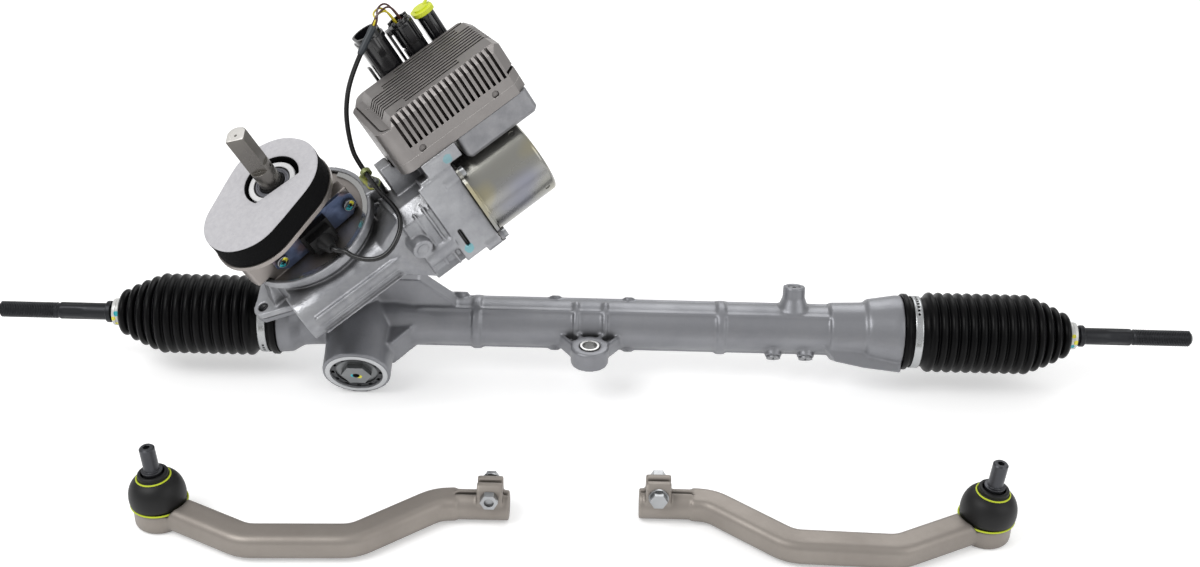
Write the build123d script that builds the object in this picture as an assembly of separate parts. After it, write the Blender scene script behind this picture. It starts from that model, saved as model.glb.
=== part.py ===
"""Electric power steering rack with its pair of outer tie rod ends.

Millimetres. The origin is on the axis of the centre bracket's bolt hole, at the seat face under the
bracket. +Z is the bolt axis, +X runs along the rack towards the free end, and +Y points away from
the side that carries the yoke plug. The working frames are the rack axis, the pinion axis, the worm
axis, the yoke, and the control unit, which is rolled about the worm axis with the motor block.
"""

from build123d import *
from math import acos, cos, degrees, pi, radians, sin, tan
import os

# Driving dimensions: places of the axes
RACK_Y = 42.0
RACK_Z = 14.0
PINION_X = -204.5
PINION_TILT_DEG = 23.7
PINION_SKEW_DEG = 19.3
WORM_SWING_DEG = 35.0
WORM_LEVEL = 84.0
UNIT_ROLL_DEG = 22.0

# Driving dimensions: rack, pinion, worm gear
RACK_R = 14.0
RACK_SHIFT = 4.5
RACK_HALF_STROKE = 65.0
STOP_X = 297.0
STOP_GAP = 0.5
PINION_MODULE = 1.75
PINION_TEETH = 9
PINION_PRESSURE_DEG = 25.0
PINION_SHIFT = 0.25
PINION_FACE = 28.0
RACK_BACKLASH = 0.10
TOOTH_DEPTH = 1.25
WORM_MODULE = 2.0
WHEEL_TEETH = 41
WORM_STARTS = 2
WORM_PITCH_R = 11.0
WORM_LENGTH = 36.0
WHEEL_WIDTH = 16.0
WORM_PRESSURE_DEG = 20.0
WORM_BACKLASH = 0.34
RUN_FIT = 0.05
SOFT_GAP = 0.3

# Driving dimensions: rack housing
TUBE_R = 21.5
TUBE_BORE_R = 16.6
HOUSING_END_X = 300.0
SPIGOT_R = 28.5
SPIGOT_LENGTH = 21.0
FLARE_R = 32.5
STOP_RING_R = 23.0
STOP_RING_BORE_R = 14.4
STOP_RING_WIDTH = 8.0
TOWER_R = 27.0
TOWER_TOP = 66.0
FLANGE_THICK = 6.0
FLANGE_R = 42.0
EAR_RADIUS = 72.0
EAR_R = 9.0
EAR_ANGLES = (214.8, 130.0, 50.0)
OPEN_EAR = 214.8
CASE_BOLT_R = 4.0
YOKE_BOSS_R = 30.0
YOKE_BOSS_LENGTH = 60.0
YOKE_R = 19.0
YOKE_PLUG_R = 22.5
YOKE_PLUG_THICK = 14.0
BRACKET_THICK = 17.0
BRACKET_BOSS_R = 16.7
BUSH_OUTER_R = 8.5
BUSH_BORE_R = 6.5
BRACKET_ROOT_HALF = 38.0
BRACKET_WALL = 4.5
BRACKET_RIB_X = 13.0
RIB_RINGS = (-101.5, 116.8)
LEDGE_ELEVATIONS = (60.0, -60.0, 120.0, 240.0)
PAD_PLACES = ((-101.5, -60), (-32.0, -60), (34.0, -60), (116.8, -60), (-32.0, 120), (34.0, 120))
VENT_X = 181.7
VENT_R = 10.0
VENT_TOP = 40.0
VENT_ELEVATION = 104.0
PLUG_BOSS_X = (164.8, 193.7)
PLUG_BOSS_R = 7.7
PLUG_R = 4.5
PLUG_ELEVATION = -44.0

# Driving dimensions: gear case and sensor housing
BOWL_R = 52.0
BOWL_BORE_R = 47.0
RIM_R = 61.8
RIM_BORE_R = 58.0
RIM_TOP = 121.0
RIM_THICK = 9.0
RECESS_FLOOR = 113.0
WORM_TUBE_R = 21.5
WORM_BORE_R = 16.5
WORM_TUBE_START = -50.0
MOTOR_BLOCK_HALF = 36.0
MOTOR_BLOCK_START = 62.0
MOTOR_FACE = 124.0
MOTOR_BLOCK_BORE_R = 28.0
SENSOR_LOBE_A = (1.0, 2.0, 36.0)
SENSOR_LOBE_B = (-17.0, -33.0, 31.0)
SENSOR_TOP = 156.0
SENSOR_FLAT = 26.5
SENSOR_FLAT_DEG = -48.7
NECK_R = 20.6
NECK_TOP = 176.0
GASKET_PLATE = 4.0
FOAM_TOP = 182.0
FOAM_GROW = 6.0
FOAM_HOLE_R = 24.5
FOAM_HOLE_FLAT = 21.0
FOAM_LIP_FLAT = 12.5

# Driving dimensions: pinion shaft, torsion bar and input shaft
SHAFT_R = 9.0
LOWER_JOURNAL_R = 6.0
TORSION_BORE_R = 3.4
TORSION_R = 2.7
SPIGOT_TOP_R = 7.0
INPUT_R = 9.6
INPUT_TOP = 237.0
# The shaft's flats as direction, distance from the axis and level where each begins
INPUT_FLATS = ((-90.0, 5.6, 197.0), (0.0, 7.9, 203.0), (180.0, 7.9, 203.0))
INPUT_HOLE_LEVEL = 197.5
INPUT_START = 113.0

# Driving dimensions: motor
CAN_R = 40.0
CAN_WALL = 1.8
CAN_LENGTH = 64.0
FLANGE_PLATE = 3.0
MOTOR_SHAFT_R = 6.0
ROTOR_R = 22.0
ROTOR_LENGTH = 44.0
STATOR_BORE_R = 23.0

# Driving dimensions: control unit, in its own frame: along, deep, high
UNIT_M = (88.0, 214.0)
UNIT_D = (-36.0, 42.0)
UNIT_BASE_H = 59.0
UNIT_SPLIT_H = 68.0
UNIT_TOP_H = 105.0
UNIT_TOP_RISE = 9.0
UNIT_WALL = 3.0
FIN_PITCH = 5.3
FIN_GAP = 2.6
DECK_M = 107.0
DECK_STEP = 6.0
SLOT_LOW = 76.5
SHELF_D = 79.0
SHELF_H = 76.0

# Driving dimensions: bellows, inner joints and tie rods
BELLOWS_R = 36.0
BELLOWS_VALLEY = 4.5
BELLOWS_WALL = 1.4
BELLOWS_PITCH = 8.7
CUFF_R = 31.0
LIP_R = 34.5
BAND_WIDTH = 8.0
BAND_THICK = 1.2
SMALL_CUFF_R = 11.0
BALL_R = 11.0
SOCKET_R = 16.5
SOCKET_BALL = 28.0
SOCKET_LENGTH = 44.0
SEAT_R = 13.5
SEAT_MOUTH = 6.0
TIE_NECK_R = 6.3
TIE_R = 7.6
TIE_THREAD_R = 7.0
TIE_LENGTH = 147.0
TIE_SWING_DEG = 18.0

# Driving dimensions: outer tie rod ends, which lie on the floor in front of the rack
FLOOR_Z = -37.6
END_ARM_WIDE = 25.0
END_ARM_HIGH = 21.0
END_SOCKET_R = 20.5
END_SOCKET_H = 17.0
END_BALL_R = 12.0
STUD_R = 6.0
STUD_TOP = 70.0
STUD_LEAN_DEG = 4.0
CLAMP_R = 12.0
CLAMP_BORE_R = 6.7
CLAMP_LENGTH = 42.0
CLAMP_EAR_TOP = 24.0
CLAMP_BOLT_H = 14.5
CLAMP_SLOT = 3.0

# Driving dimensions: fixings and cable
CASE_LUGS = ((63.5, 26.0, 6.5), (-58.0, -24.0, 5.5))
SENSOR_PLATE_HALF = 43.0
SENSOR_PLATE_LOW = 120.0
SENSOR_PLATE_HIGH = 146.0
SENSOR_SCREW_X = 36.0
SENSOR_SCREW_T = 132.5
SENSOR_BOOT_OUT = 29.5
CABLE_R = 2.1
WIRE_R = 0.85
MOTOR_PLATE_HALF = 42.0
MOTOR_SCREW_PLACES = ((34.0, 33.0), (34.0, -33.0), (-34.0, 33.0), (-34.0, -33.0))
SHELF_M = (120.0, 203.0)
FIN_DEPTH = 6.0
GROOVE_PITCH = 5.0
GROOVE_GAP = 2.4
GROOVE_FIRST = 13.0
FRONT_SLOTS = 19
# Each groove of the deck as its two ends, counted from the front; the row of seven opens at the left step
GROOVES = (
    (125.0, 173.0),
    (125.0, 173.0),
    (95.0, 209.0),
    (95.0, 209.0),
    (95.0, 209.0),
    (95.0, 209.0),
    (95.0, 209.0),
    (95.0, 209.0),
    (95.0, 209.0),
    (120.0, 209.0),
    (120.0, 193.0),
    (136.0, 193.0),
    (136.0, 209.0),
)
UNIT_SCREWS = ((97.0, 33.0), (206.0, 35.5), (131.0, -20.0), (97.0, -26.0))
TERMINAL_M = (140.0, 212.0)
SOCKETS = {
    "power": (138.0, 60.5, 13.0),
    "signal": (167.0, 60.5, 11.0),
    "spare": (189.0, 60.5, 10.0),
}
POWER_TOP = 149.0
SIGNAL_TOP = 120.0
PLUG_TOP = 139.0
SPARE_TOP = 135.5
CAP_TOP = 137.4
WIRE_PLACES = ((-2.5, -4.0), (2.5, -4.0), (-2.5, 4.0), (2.5, 4.0))
CABLE_BEND_R = 5.5
CABLE_POINTS = (
    (-201.9, -37.4, 126.6),
    (-195.5, -42.4, 124.8),
    (-183.2, -48.1, 124.6),
    (-171.4, -49.8, 127.2),
    (-162.6, -47.0, 133.4),
    (-156.7, -38.5, 143.3),
    (-155.9, -29.9, 149.8),
    (-159.3, -20.7, 155.0),
    (-168.2, -8.5, 158.7),
    (-178.1, 4.2, 160.4),
    (-192.5, 30.2, 165.0),
    (-199.1, 34.5, 173.0),
    (-204.8, 39.3, 181.7),
    (-210.0, 49.3, 204.8),
    (-208.8, 54.9, 225.2),
    (-203.5, 55.0, 243.2),
    (-194.1, 56.6, 264.9),
    (-185.4, 67.5, 281.6),
)
CLIP_INDEX = 10
CLIP_FOOT = (52.0, 36.5)
BELLOWS_END_RIGHT = 431.0
BELLOWS_END_LEFT = -423.0
OUTER_SOCKETS = {"left": (-332.6, -184.8), "right": (316.0, -178.0)}
OUTER_ARM_PATH = ((0, 0), (73, -38), (157, -35), (216, 12), (231, 13))
END_CENTRE_H = 12.2
END_BALL_H = 14.8
CLAMP_BOLT_X = 27.0

CENTRED = (Align.CENTER, Align.CENTER, Align.MIN)


# Working frames
def unit(x, y, z):
    return Vector(x, y, z).normalized()


tilt = radians(PINION_TILT_DEG)
skew = radians(PINION_SKEW_DEG)
swing = radians(WORM_SWING_DEG)
roll = radians(UNIT_ROLL_DEG)
PINION_DIR = unit(-sin(skew), -cos(skew) * sin(tilt), cos(skew) * cos(tilt))
BACK_DIR = unit(0, cos(tilt), sin(tilt))
CROSS_DIR = BACK_DIR.cross(PINION_DIR)
WORM_DIR = CROSS_DIR * cos(swing) + BACK_DIR * sin(swing)
SIDE_DIR = PINION_DIR.cross(WORM_DIR)
UP_DIR = PINION_DIR * cos(roll) + SIDE_DIR * sin(roll)

PINION_PITCH_R = PINION_MODULE * PINION_TEETH / 2
WHEEL_PITCH_R = WORM_MODULE * WHEEL_TEETH / 2
CENTRE_DISTANCE = WHEEL_PITCH_R + WORM_PITCH_R
RACK_DATUM = PINION_PITCH_R + PINION_SHIFT * PINION_MODULE
RACK_FLAT = RACK_R - 4.06
PINION_OFFSET = RACK_FLAT + RACK_DATUM - PINION_MODULE

RACK_ORIGIN = Vector(0, RACK_Y, RACK_Z)
PINION_ORIGIN = RACK_ORIGIN + Vector(PINION_X, 0, 0) + BACK_DIR * PINION_OFFSET
WORM_ORIGIN = PINION_ORIGIN + PINION_DIR * WORM_LEVEL - SIDE_DIR * CENTRE_DISTANCE

RACK = Plane(origin=RACK_ORIGIN, x_dir=(0, 1, 0), z_dir=(1, 0, 0))
PINION = Plane(origin=PINION_ORIGIN, x_dir=CROSS_DIR, z_dir=PINION_DIR)
WORM = Plane(origin=WORM_ORIGIN, x_dir=SIDE_DIR, z_dir=WORM_DIR)
UNIT = Plane(origin=WORM_ORIGIN, x_dir=WORM_DIR, z_dir=UP_DIR)
MOTOR = Plane(origin=WORM_ORIGIN, x_dir=UNIT.y_dir, z_dir=WORM_DIR)
YOKE = Plane(
    origin=RACK_ORIGIN + Vector(PINION_X, 0, 0), x_dir=(1, 0, 0), z_dir=BACK_DIR * -1
)

# The pinion axis meets the rack teeth along the skewed direction, so these levels are measured
# along it from the point abreast of the rack
LOWER_SEAT = (-27.0, -16.0)
MIDDLE_SEAT = (20.0, 32.0)
UPPER_SEAT = (98.0, 110.0)
TOP_SEAT = (160.0, 171.0)
UPPER_SEAT_R = 19.0
TOP_SEAT_R = 17.0
WORM_SEAT_A = (-44.0, -34.0)
WORM_SEAT_B = (27.0, 38.0)
WORM_SHAFT_R = 7.0
MOTOR_SEAT = (181.0, 188.0)
MOTOR_SEAT_R = 13.0
WHEEL_START = WORM_LEVEL - WHEEL_WIDTH / 2
CASE_FLOOR_TOP = TOWER_TOP + FLANGE_THICK
FOAM_START = SENSOR_TOP + GASKET_PLATE
CAN_START = MOTOR_FACE + FLANGE_PLATE
CAN_END = CAN_START + CAN_LENGTH
TORSION_FOOT = PINION_FACE / 2 + 15.0
RACK_LEFT = RACK_SHIFT - STOP_X - RACK_HALF_STROKE - STOP_GAP
RACK_RIGHT = RACK_SHIFT + STOP_X + RACK_HALF_STROKE + STOP_GAP
TRAVEL_BACK = -(RACK_HALF_STROKE + RACK_SHIFT)
TRAVEL_ON = RACK_HALF_STROKE - RACK_SHIFT
TOOTHED_MARGIN = 16.0
TOOTHED_LEFT = PINION_X - TRAVEL_ON - TOOTHED_MARGIN
TOOTHED_RIGHT = PINION_X - TRAVEL_BACK + TOOTHED_MARGIN
STUD_HOLE_R = 8.0
STUD_HOLE_DEPTH = 22.0


# Small shape helpers, all in local coordinates
def rod(radius, start, end):
    return Pos(0, 0, start) * Cylinder(radius, end - start, align=CENTRED)


def sleeve(outer, inner, start, end):
    return rod(outer, start, end) - rod(inner, start - 1, end + 1)


def block(x0, x1, y0, y1, z0, z1):
    """An upright box between two opposite corners, given in either order."""
    middle = Pos((x0 + x1) / 2, (y0 + y1) / 2, (z0 + z1) / 2)
    return middle * Box(abs(x1 - x0), abs(y1 - y0), abs(z1 - z0))


def turned(points):
    """A solid of revolution about Z from (radius, height) corners."""
    outline = Polyline(*[(radius, 0, height) for radius, height in points], close=True)
    return revolve(make_face(outline), Axis.Z)


def prism(points, start, end):
    """An upright solid from (x, y) corners."""
    outline = Polyline(*[(x, y, start) for x, y in points], close=True)
    return extrude(make_face(outline), amount=end - start, dir=(0, 0, 1))


def hull_plate(circles, start, end):
    """An upright plate around circles given as (x, y, radius)."""
    rings = [Edge.make_circle(radius, Plane((x, y, 0))) for x, y, radius in circles]
    outline = make_hull(rings)
    return Pos(0, 0, start) * extrude(outline, amount=end - start)


def polar(radius, angle_deg):
    return (radius * cos(radians(angle_deg)), radius * sin(radians(angle_deg)))


def bolt(shank_r, length, head_across, head_high, washer_r=0.0):
    """A hexagon bolt: the shank runs down from z = 0 and the head stands on it."""
    head = extrude(RegularPolygon(head_across / 2, 6, major_radius=False), amount=head_high)
    piece = head + rod(shank_r, -length, 0.01)
    if washer_r:
        piece += rod(washer_r, 0, head_high * 0.25)
    return piece


def along(direction, origin, x_hint=(1, 0, 0)):
    """A frame whose Z is a given direction."""
    d = Vector(*direction).normalized()
    x = Vector(*x_hint) - d * d.dot(Vector(*x_hint))
    return Plane(origin=origin, x_dir=x.normalized(), z_dir=d)


def rack_side(elevation_deg, x, depth=0.0):
    """A frame on the rack axis at x, whose Z points away from it at an elevation above -Y."""
    e = radians(elevation_deg)
    out = Vector(0, -cos(e), sin(e))
    return along(out, RACK_ORIGIN + Vector(x, 0, 0) + out * depth)


# Tooth outlines
def involute(angle):
    return tan(angle) - angle


def flank_half_angle(radius, pitch_r, base_r, half_at_pitch, pressure):
    """Half the angle that a tooth covers at a radius."""
    if radius <= base_r:
        return half_at_pitch + involute(pressure)
    return half_at_pitch + involute(pressure) - involute(acos(base_r / radius))


def gear_outline(teeth, pitch_r, root_r, tip_r, pressure, thickness, phase, steps):
    """Corners of a gear's outline, tooth by tooth."""
    base_r = pitch_r * cos(pressure)
    start_r = max(root_r, base_r)
    radii = [root_r] if root_r < base_r else []
    radii += [start_r + (tip_r - start_r) * i / steps for i in range(steps + 1)]
    half = thickness / 2 / pitch_r
    corners = []
    for tooth in range(teeth):
        middle = phase + 2 * pi * tooth / teeth
        spread = [flank_half_angle(r, pitch_r, base_r, half, pressure) for r in radii]
        for r, a in zip(radii, spread):
            corners.append((r * cos(middle - a), r * sin(middle - a)))
        for r, a in reversed(list(zip(radii, spread))):
            corners.append((r * cos(middle + a), r * sin(middle + a)))
    return corners


def worm_outline():
    """Corners across the worm: each start's thread covers an angle set by its axial width."""
    lead = pi * WORM_MODULE * WORM_STARTS
    tip_r = WORM_PITCH_R + 0.9 * WORM_MODULE
    root_r = WORM_PITCH_R - 1.2 * WORM_MODULE
    slope = tan(radians(WORM_PRESSURE_DEG))
    half_width = (pi * WORM_MODULE / 2 - WORM_BACKLASH / 2) / 2
    radii = [root_r, WORM_PITCH_R, tip_r]
    corners = []
    for start in range(WORM_STARTS):
        middle = 2 * pi * start / WORM_STARTS
        spread = [(half_width - (r - WORM_PITCH_R) * slope) * 2 * pi / lead for r in radii]
        for r, a in zip(radii, spread):
            corners.append((r * cos(middle - a), r * sin(middle - a)))
        crest = spread[-1]
        for share in (-0.5, 0.0, 0.5):
            corners.append((tip_r * cos(middle + crest * share), tip_r * sin(middle + crest * share)))
        for r, a in reversed(list(zip(radii, spread))):
            corners.append((r * cos(middle + a), r * sin(middle + a)))
    return corners


def twisted(corners, start, end, turn_deg):
    """A prism whose section turns by turn_deg from start to end, right at its middle level."""
    height = end - start
    face = make_face(Polyline(*[(x, y, 0) for x, y in corners], close=True)).face()
    solid = Solid.extrude_linear_with_rotation(face, (0, 0, 0), (0, 0, height), turn_deg)
    return Pos(0, 0, start) * Rot(0, 0, -turn_deg / 2) * solid


nodes = {}
rubber_seals = []
case_screws, inner_sockets, ball_seats, bellows_clamps = [], [], [], []
outer_ends, stud_boots, boot_rings, pinch_bolts = [], [], [], []


def keep(name, shape):
    """Record a finished sub-part under its node name."""
    nodes[name] = shape


# Rack bar: a round bar with a flat toothed length, whose teeth lie along the pinion's direction
def rack_grooves():
    """The gaps between the rack teeth, as one group in the pinion's frame."""
    pitch = pi * PINION_MODULE
    slope = tan(radians(PINION_PRESSURE_DEG))
    bottom = -RACK_DATUM - TOOTH_DEPTH * PINION_MODULE
    top = -RACK_DATUM + PINION_MODULE + 1.0

    def half_width(y):
        return pitch / 4 + RACK_BACKLASH + (y + RACK_DATUM) * slope

    first = int((TOOTHED_LEFT - PINION_X) * cos(skew) / pitch)
    last = int((TOOTHED_RIGHT - PINION_X) * cos(skew) / pitch)
    grooves = []
    for k in range(first, last):
        x = (k + 0.5) * pitch
        low, high = half_width(bottom), half_width(top)
        corners = [(x - low, bottom), (x + low, bottom), (x + high, top), (x - high, top)]
        face = make_face(Polyline(*[(a, b, 0) for a, b in corners], close=True))
        reach = 2 * RACK_R + abs(x) * tan(skew)
        grooves.append(extrude(face, amount=reach, both=True))
    return grooves


def make_rack_bar():
    bar = RACK * rod(RACK_R, RACK_LEFT, RACK_RIGHT)
    flat = PINION * block(
        (TOOTHED_LEFT - PINION_X) * cos(skew),
        (TOOTHED_RIGHT - PINION_X) * cos(skew),
        -RACK_DATUM + PINION_MODULE,
        PINION_OFFSET,
        -90,
        90,
    )
    bar -= flat
    bar -= [PINION * groove for groove in rack_grooves()]
    for end, way in ((RACK_LEFT, 1), (RACK_RIGHT, -1)):
        hole = sorted((end - way, end + way * STUD_HOLE_DEPTH))
        bar -= RACK * rod(STUD_HOLE_R, *hole)
    keep("rack_bar", bar)


# Pinion shaft with its teeth, the worm wheel, torsion bar and input shaft
def make_pinion_group():
    thickness = PINION_MODULE * (pi / 2 + 2 * PINION_SHIFT * tan(radians(PINION_PRESSURE_DEG)))
    tip_r = PINION_PITCH_R + (PINION_SHIFT + 0.9) * PINION_MODULE
    root_r = PINION_PITCH_R + (PINION_SHIFT - TOOTH_DEPTH) * PINION_MODULE
    outline = gear_outline(
        PINION_TEETH,
        PINION_PITCH_R,
        root_r,
        tip_r,
        radians(PINION_PRESSURE_DEG),
        thickness,
        -pi / 2 + pi / PINION_TEETH,
        5,
    )
    half = PINION_FACE / 2
    teeth = prism(outline, -half, half)
    shaft = teeth + rod(LOWER_JOURNAL_R, LOWER_SEAT[0], -half) + rod(SHAFT_R, half, UPPER_SEAT[1] + 2)
    shaft += rod(SPIGOT_TOP_R, UPPER_SEAT[1], INPUT_START + 18)
    shaft -= rod(TORSION_BORE_R, TORSION_FOOT, INPUT_START + 20)
    keep("pinion_shaft", PINION * shaft)

    wheel_thickness = pi * WORM_MODULE / 2 - WORM_BACKLASH / 2
    lead = pi * WORM_MODULE * WORM_STARTS
    lead_slope = lead / (2 * pi * WORM_PITCH_R)
    turn = degrees(lead_slope * WHEEL_WIDTH / WHEEL_PITCH_R)
    side_angle = radians(90 + WORM_SWING_DEG)
    outline = gear_outline(
        WHEEL_TEETH,
        WHEEL_PITCH_R,
        WHEEL_PITCH_R - 1.2 * WORM_MODULE,
        WHEEL_PITCH_R + 0.9 * WORM_MODULE,
        radians(WORM_PRESSURE_DEG),
        wheel_thickness,
        side_angle + pi + pi / WHEEL_TEETH,
        2,
    )
    hub_r = WHEEL_PITCH_R - 8
    rim = twisted(outline, WHEEL_START, WHEEL_START + WHEEL_WIDTH, turn)
    rim -= rod(hub_r, WHEEL_START - 1, WHEEL_START + WHEEL_WIDTH + 1)
    keep("worm_wheel_rim", PINION * rim)
    web = sleeve(hub_r, SHAFT_R, WHEEL_START + 4, WHEEL_START + WHEEL_WIDTH - 4)
    web += sleeve(hub_r, hub_r - 4, WHEEL_START, WHEEL_START + WHEEL_WIDTH)
    web += sleeve(15, SHAFT_R, CASE_FLOOR_TOP + 1, UPPER_SEAT[0])
    for angle in range(0, 360, 60):
        web -= Pos(*polar(23, angle)) * rod(4.5, WHEEL_START, WHEEL_START + WHEEL_WIDTH)
    keep("worm_wheel_hub", PINION * web)


def make_input_group():
    top = INPUT_TOP
    shaft = rod(INPUT_R, INPUT_START, top)
    shaft = chamfer(shaft.edges().filter_by(GeomType.CIRCLE).sort_by(Axis.Z)[-1], 0.8)
    shaft -= rod(SPIGOT_TOP_R + RUN_FIT, INPUT_START - 1, INPUT_START + 20)
    shaft -= rod(TORSION_R + 0.6 + RUN_FIT, INPUT_START + 19, top - 36)
    for angle, reach, level in INPUT_FLATS:
        shaft -= Rot(0, 0, angle) * block(reach, INPUT_R + 1, -INPUT_R - 1, INPUT_R + 1, level, top + 1)
    cross = Pos(0, 0, INPUT_HOLE_LEVEL) * Rot(0, 90, 0)
    shaft -= cross * rod(1.5, -INPUT_R - 1, INPUT_R + 1)
    keep("input_shaft", PINION * shaft)

    bar = rod(TORSION_R, TORSION_FOOT, top - 44)
    bar += rod(TORSION_BORE_R, TORSION_FOOT, TORSION_FOOT + 11)
    bar += rod(TORSION_R + 0.6, top - 50, top - 37)
    keep("torsion_bar", PINION * bar)


def ball_bearing(inner_r, outer_r, seat, frame):
    """A deep-groove bearing as its outer race, its inner race and its balls."""
    low, high = seat
    middle = (low + high) / 2
    gap = outer_r - inner_r
    ball_r = gap * 0.24
    track_r = (inner_r + outer_r) / 2
    torus = Pos(0, 0, middle) * Torus(track_r, ball_r + RUN_FIT)
    outer = sleeve(outer_r, outer_r - gap * 0.33, low, high) - torus
    inner = sleeve(inner_r + gap * 0.33, inner_r, low, high) - torus
    count = int(2 * pi * track_r / (ball_r * 3.0))
    balls = [Pos(*polar(track_r, 360 * i / count), middle) * Sphere(ball_r) for i in range(count)]
    return frame * outer, frame * inner, [frame * ball for ball in balls]


def make_bearings():
    """Every rolling bearing, with the races grouped by the body that they turn with."""
    seats = {
        "pinion": [
            (LOWER_JOURNAL_R, 10.5, LOWER_SEAT, PINION),
            (SHAFT_R, 18.0, MIDDLE_SEAT, PINION),
            (SHAFT_R, UPPER_SEAT_R, UPPER_SEAT, PINION),
        ],
        "input": [(INPUT_R, TOP_SEAT_R, TOP_SEAT, PINION)],
        "worm": [
            (WORM_SHAFT_R, WORM_BORE_R, WORM_SEAT_A, WORM),
            (WORM_SHAFT_R, WORM_BORE_R, WORM_SEAT_B, WORM),
            (MOTOR_SHAFT_R, MOTOR_SEAT_R, MOTOR_SEAT, WORM),
        ],
    }
    outers, all_balls = [], []
    for body, places in seats.items():
        inners = []
        for place in places:
            outer, inner, balls = ball_bearing(*place)
            outers.append(outer)
            inners.append(inner)
            all_balls += balls
        if body == "input":
            ring = sleeve(INPUT_R + 2.0, INPUT_R, INPUT_START + 8, INPUT_START + 16)
            inners.append(PINION * ring)
        keep(f"{body}_shaft_rings", Compound(children=inners))
    keep("outer_bearings", Compound(children=outers + all_balls))


# Inner ball joints and tie rods, mirrored end to end
def make_tie_rod(side, shoulder, way):
    """One end: socket screwed into the rack, ball seat and tie rod; way is +1 on the right."""
    frame = Plane(
        origin=RACK_ORIGIN + Vector(shoulder, 0, 0), x_dir=(0, way, 0), z_dir=(way, 0, 0)
    )
    mouth = SOCKET_LENGTH - SOCKET_BALL
    reach = radians(TIE_SWING_DEG + 4)
    neck_half = TIE_NECK_R / cos(reach) + 0.6
    cone = Pos(0, 0, SOCKET_BALL) * turned(
        [(0, 0), (neck_half, 0), (neck_half + (mouth + 1) * tan(reach), mouth + 1), (0, mouth + 1)]
    )
    cavity = rod(SEAT_R, SOCKET_BALL - 13, SOCKET_BALL + SEAT_MOUTH)
    socket = rod(SOCKET_R, 0, SOCKET_LENGTH) + rod(STUD_HOLE_R, -STUD_HOLE_DEPTH + 2, 0.01)
    for angle in (0, 180):
        socket -= Rot(0, 0, angle) * block(-20, 20, SOCKET_R - 1.5, 20, 3, 13)
    socket -= cavity
    socket -= cone
    inner_sockets.append(frame * socket)
    ball_hollow = Pos(0, 0, SOCKET_BALL) * Sphere(BALL_R + RUN_FIT)
    seat = rod(SEAT_R, SOCKET_BALL - 13, SOCKET_BALL + SEAT_MOUTH) - ball_hollow - cone
    ball_seats.append(frame * seat)

    tie = Sphere(BALL_R) + rod(TIE_NECK_R, 0, 26)
    tie += turned([(0, 24), (TIE_NECK_R, 24), (TIE_R, 30), (TIE_R, 94), (0, 94)])
    tie += rod(9.8, 46, 49.5)
    flats = Pos(0, 0, 72) * extrude(RegularPolygon(TIE_R, 6, major_radius=False), amount=18)
    tie += flats
    tie += turned(
        [
            (0, 93),
            (TIE_THREAD_R, 93),
            (TIE_THREAD_R, TIE_LENGTH - 2),
            (TIE_THREAD_R - 2, TIE_LENGTH),
            (0, TIE_LENGTH),
        ]
    )
    keep(f"tie_rod_{side}", frame * Pos(0, 0, SOCKET_BALL) * tie)


def make_bellows(side, way, neck_x):
    """Gaiter with a lip, cuff, even folds, four shrinking folds and a small cuff."""
    lip = HOUSING_END_X - SPIGOT_LENGTH
    first = HOUSING_END_X
    last = abs(neck_x)
    folds = int(round((last - 9 - first) / BELLOWS_PITCH))
    pitch = (last - 9 - first) / folds
    outer = [(LIP_R, lip), (LIP_R, lip + 5), (CUFF_R, lip + 5.5), (CUFF_R, first)]
    inner = [(SPIGOT_R, lip), (SPIGOT_R, first + 1)]
    shrink = (1.0, 0.92, 0.82, 0.71, 0.58)
    for k in range(folds):
        left = k - (folds - 5)
        scale = shrink[left] if left >= 0 else 1.0
        after = shrink[min(left + 1, 4)] if left + 1 >= 0 else 1.0
        peak = BELLOWS_R * scale
        valley = BELLOWS_R * min(scale, after) - BELLOWS_VALLEY
        x = first + (k + 0.5) * pitch
        outer += [(peak, x - 0.16 * pitch), (peak, x + 0.16 * pitch), (valley, x + 0.42 * pitch)]
        outer += [(valley, x + 0.58 * pitch)]
        inner += [(peak - BELLOWS_WALL, x), (valley - BELLOWS_WALL, x + 0.5 * pitch)]
    outer += [(SMALL_CUFF_R, last - 1), (SMALL_CUFF_R, last + 8)]
    inner += [(TIE_R + SOFT_GAP, last - 2), (TIE_R + SOFT_GAP, last + 8)]
    wall = turned(outer + inner[::-1])
    frame = Plane(origin=RACK_ORIGIN, x_dir=(0, way, 0), z_dir=(way, 0, 0))
    keep(f"bellows_{side}", frame * wall)

    start = lip + 8
    band = sleeve(CUFF_R + BAND_THICK, CUFF_R, start, start + BAND_WIDTH)
    ear = Rot(0, 0, -60 if way > 0 else 240) * block(
        CUFF_R + BAND_THICK - 0.3, CUFF_R + 5.2, -4, 4, start + 0.5, start + BAND_WIDTH - 0.5
    )
    bellows_clamps.append(frame * (band + ear))
    clip = sleeve(SMALL_CUFF_R + 1.0, SMALL_CUFF_R, last + 1, last + 6)
    bellows_clamps.append(frame * clip)


# Rack housing: one casting with the tube, end spigots, yoke boss, pinion tower and centre bracket
def flared_tube():
    end = HOUSING_END_X
    back = end - SPIGOT_LENGTH
    return turned(
        [
            (0, -end),
            (SPIGOT_R, -end),
            (SPIGOT_R, -back),
            (FLARE_R, -back),
            (FLARE_R - 1, -back + 12),
            (TUBE_R + 4, -back + 22),
            (TUBE_R + 3, PINION_X - 34),
            (TUBE_R + 3, PINION_X + 34),
            (TUBE_R, PINION_X + 62),
            (TUBE_R, back - 66),
            (TUBE_R + 3, back - 64),
            (TUBE_R + 4, back - 34),
            (TUBE_R + 7, back - 31),
            (FLARE_R, back - 6),
            (FLARE_R, back),
            (SPIGOT_R, back),
            (SPIGOT_R, end),
            (0, end),
        ]
    )




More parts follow.
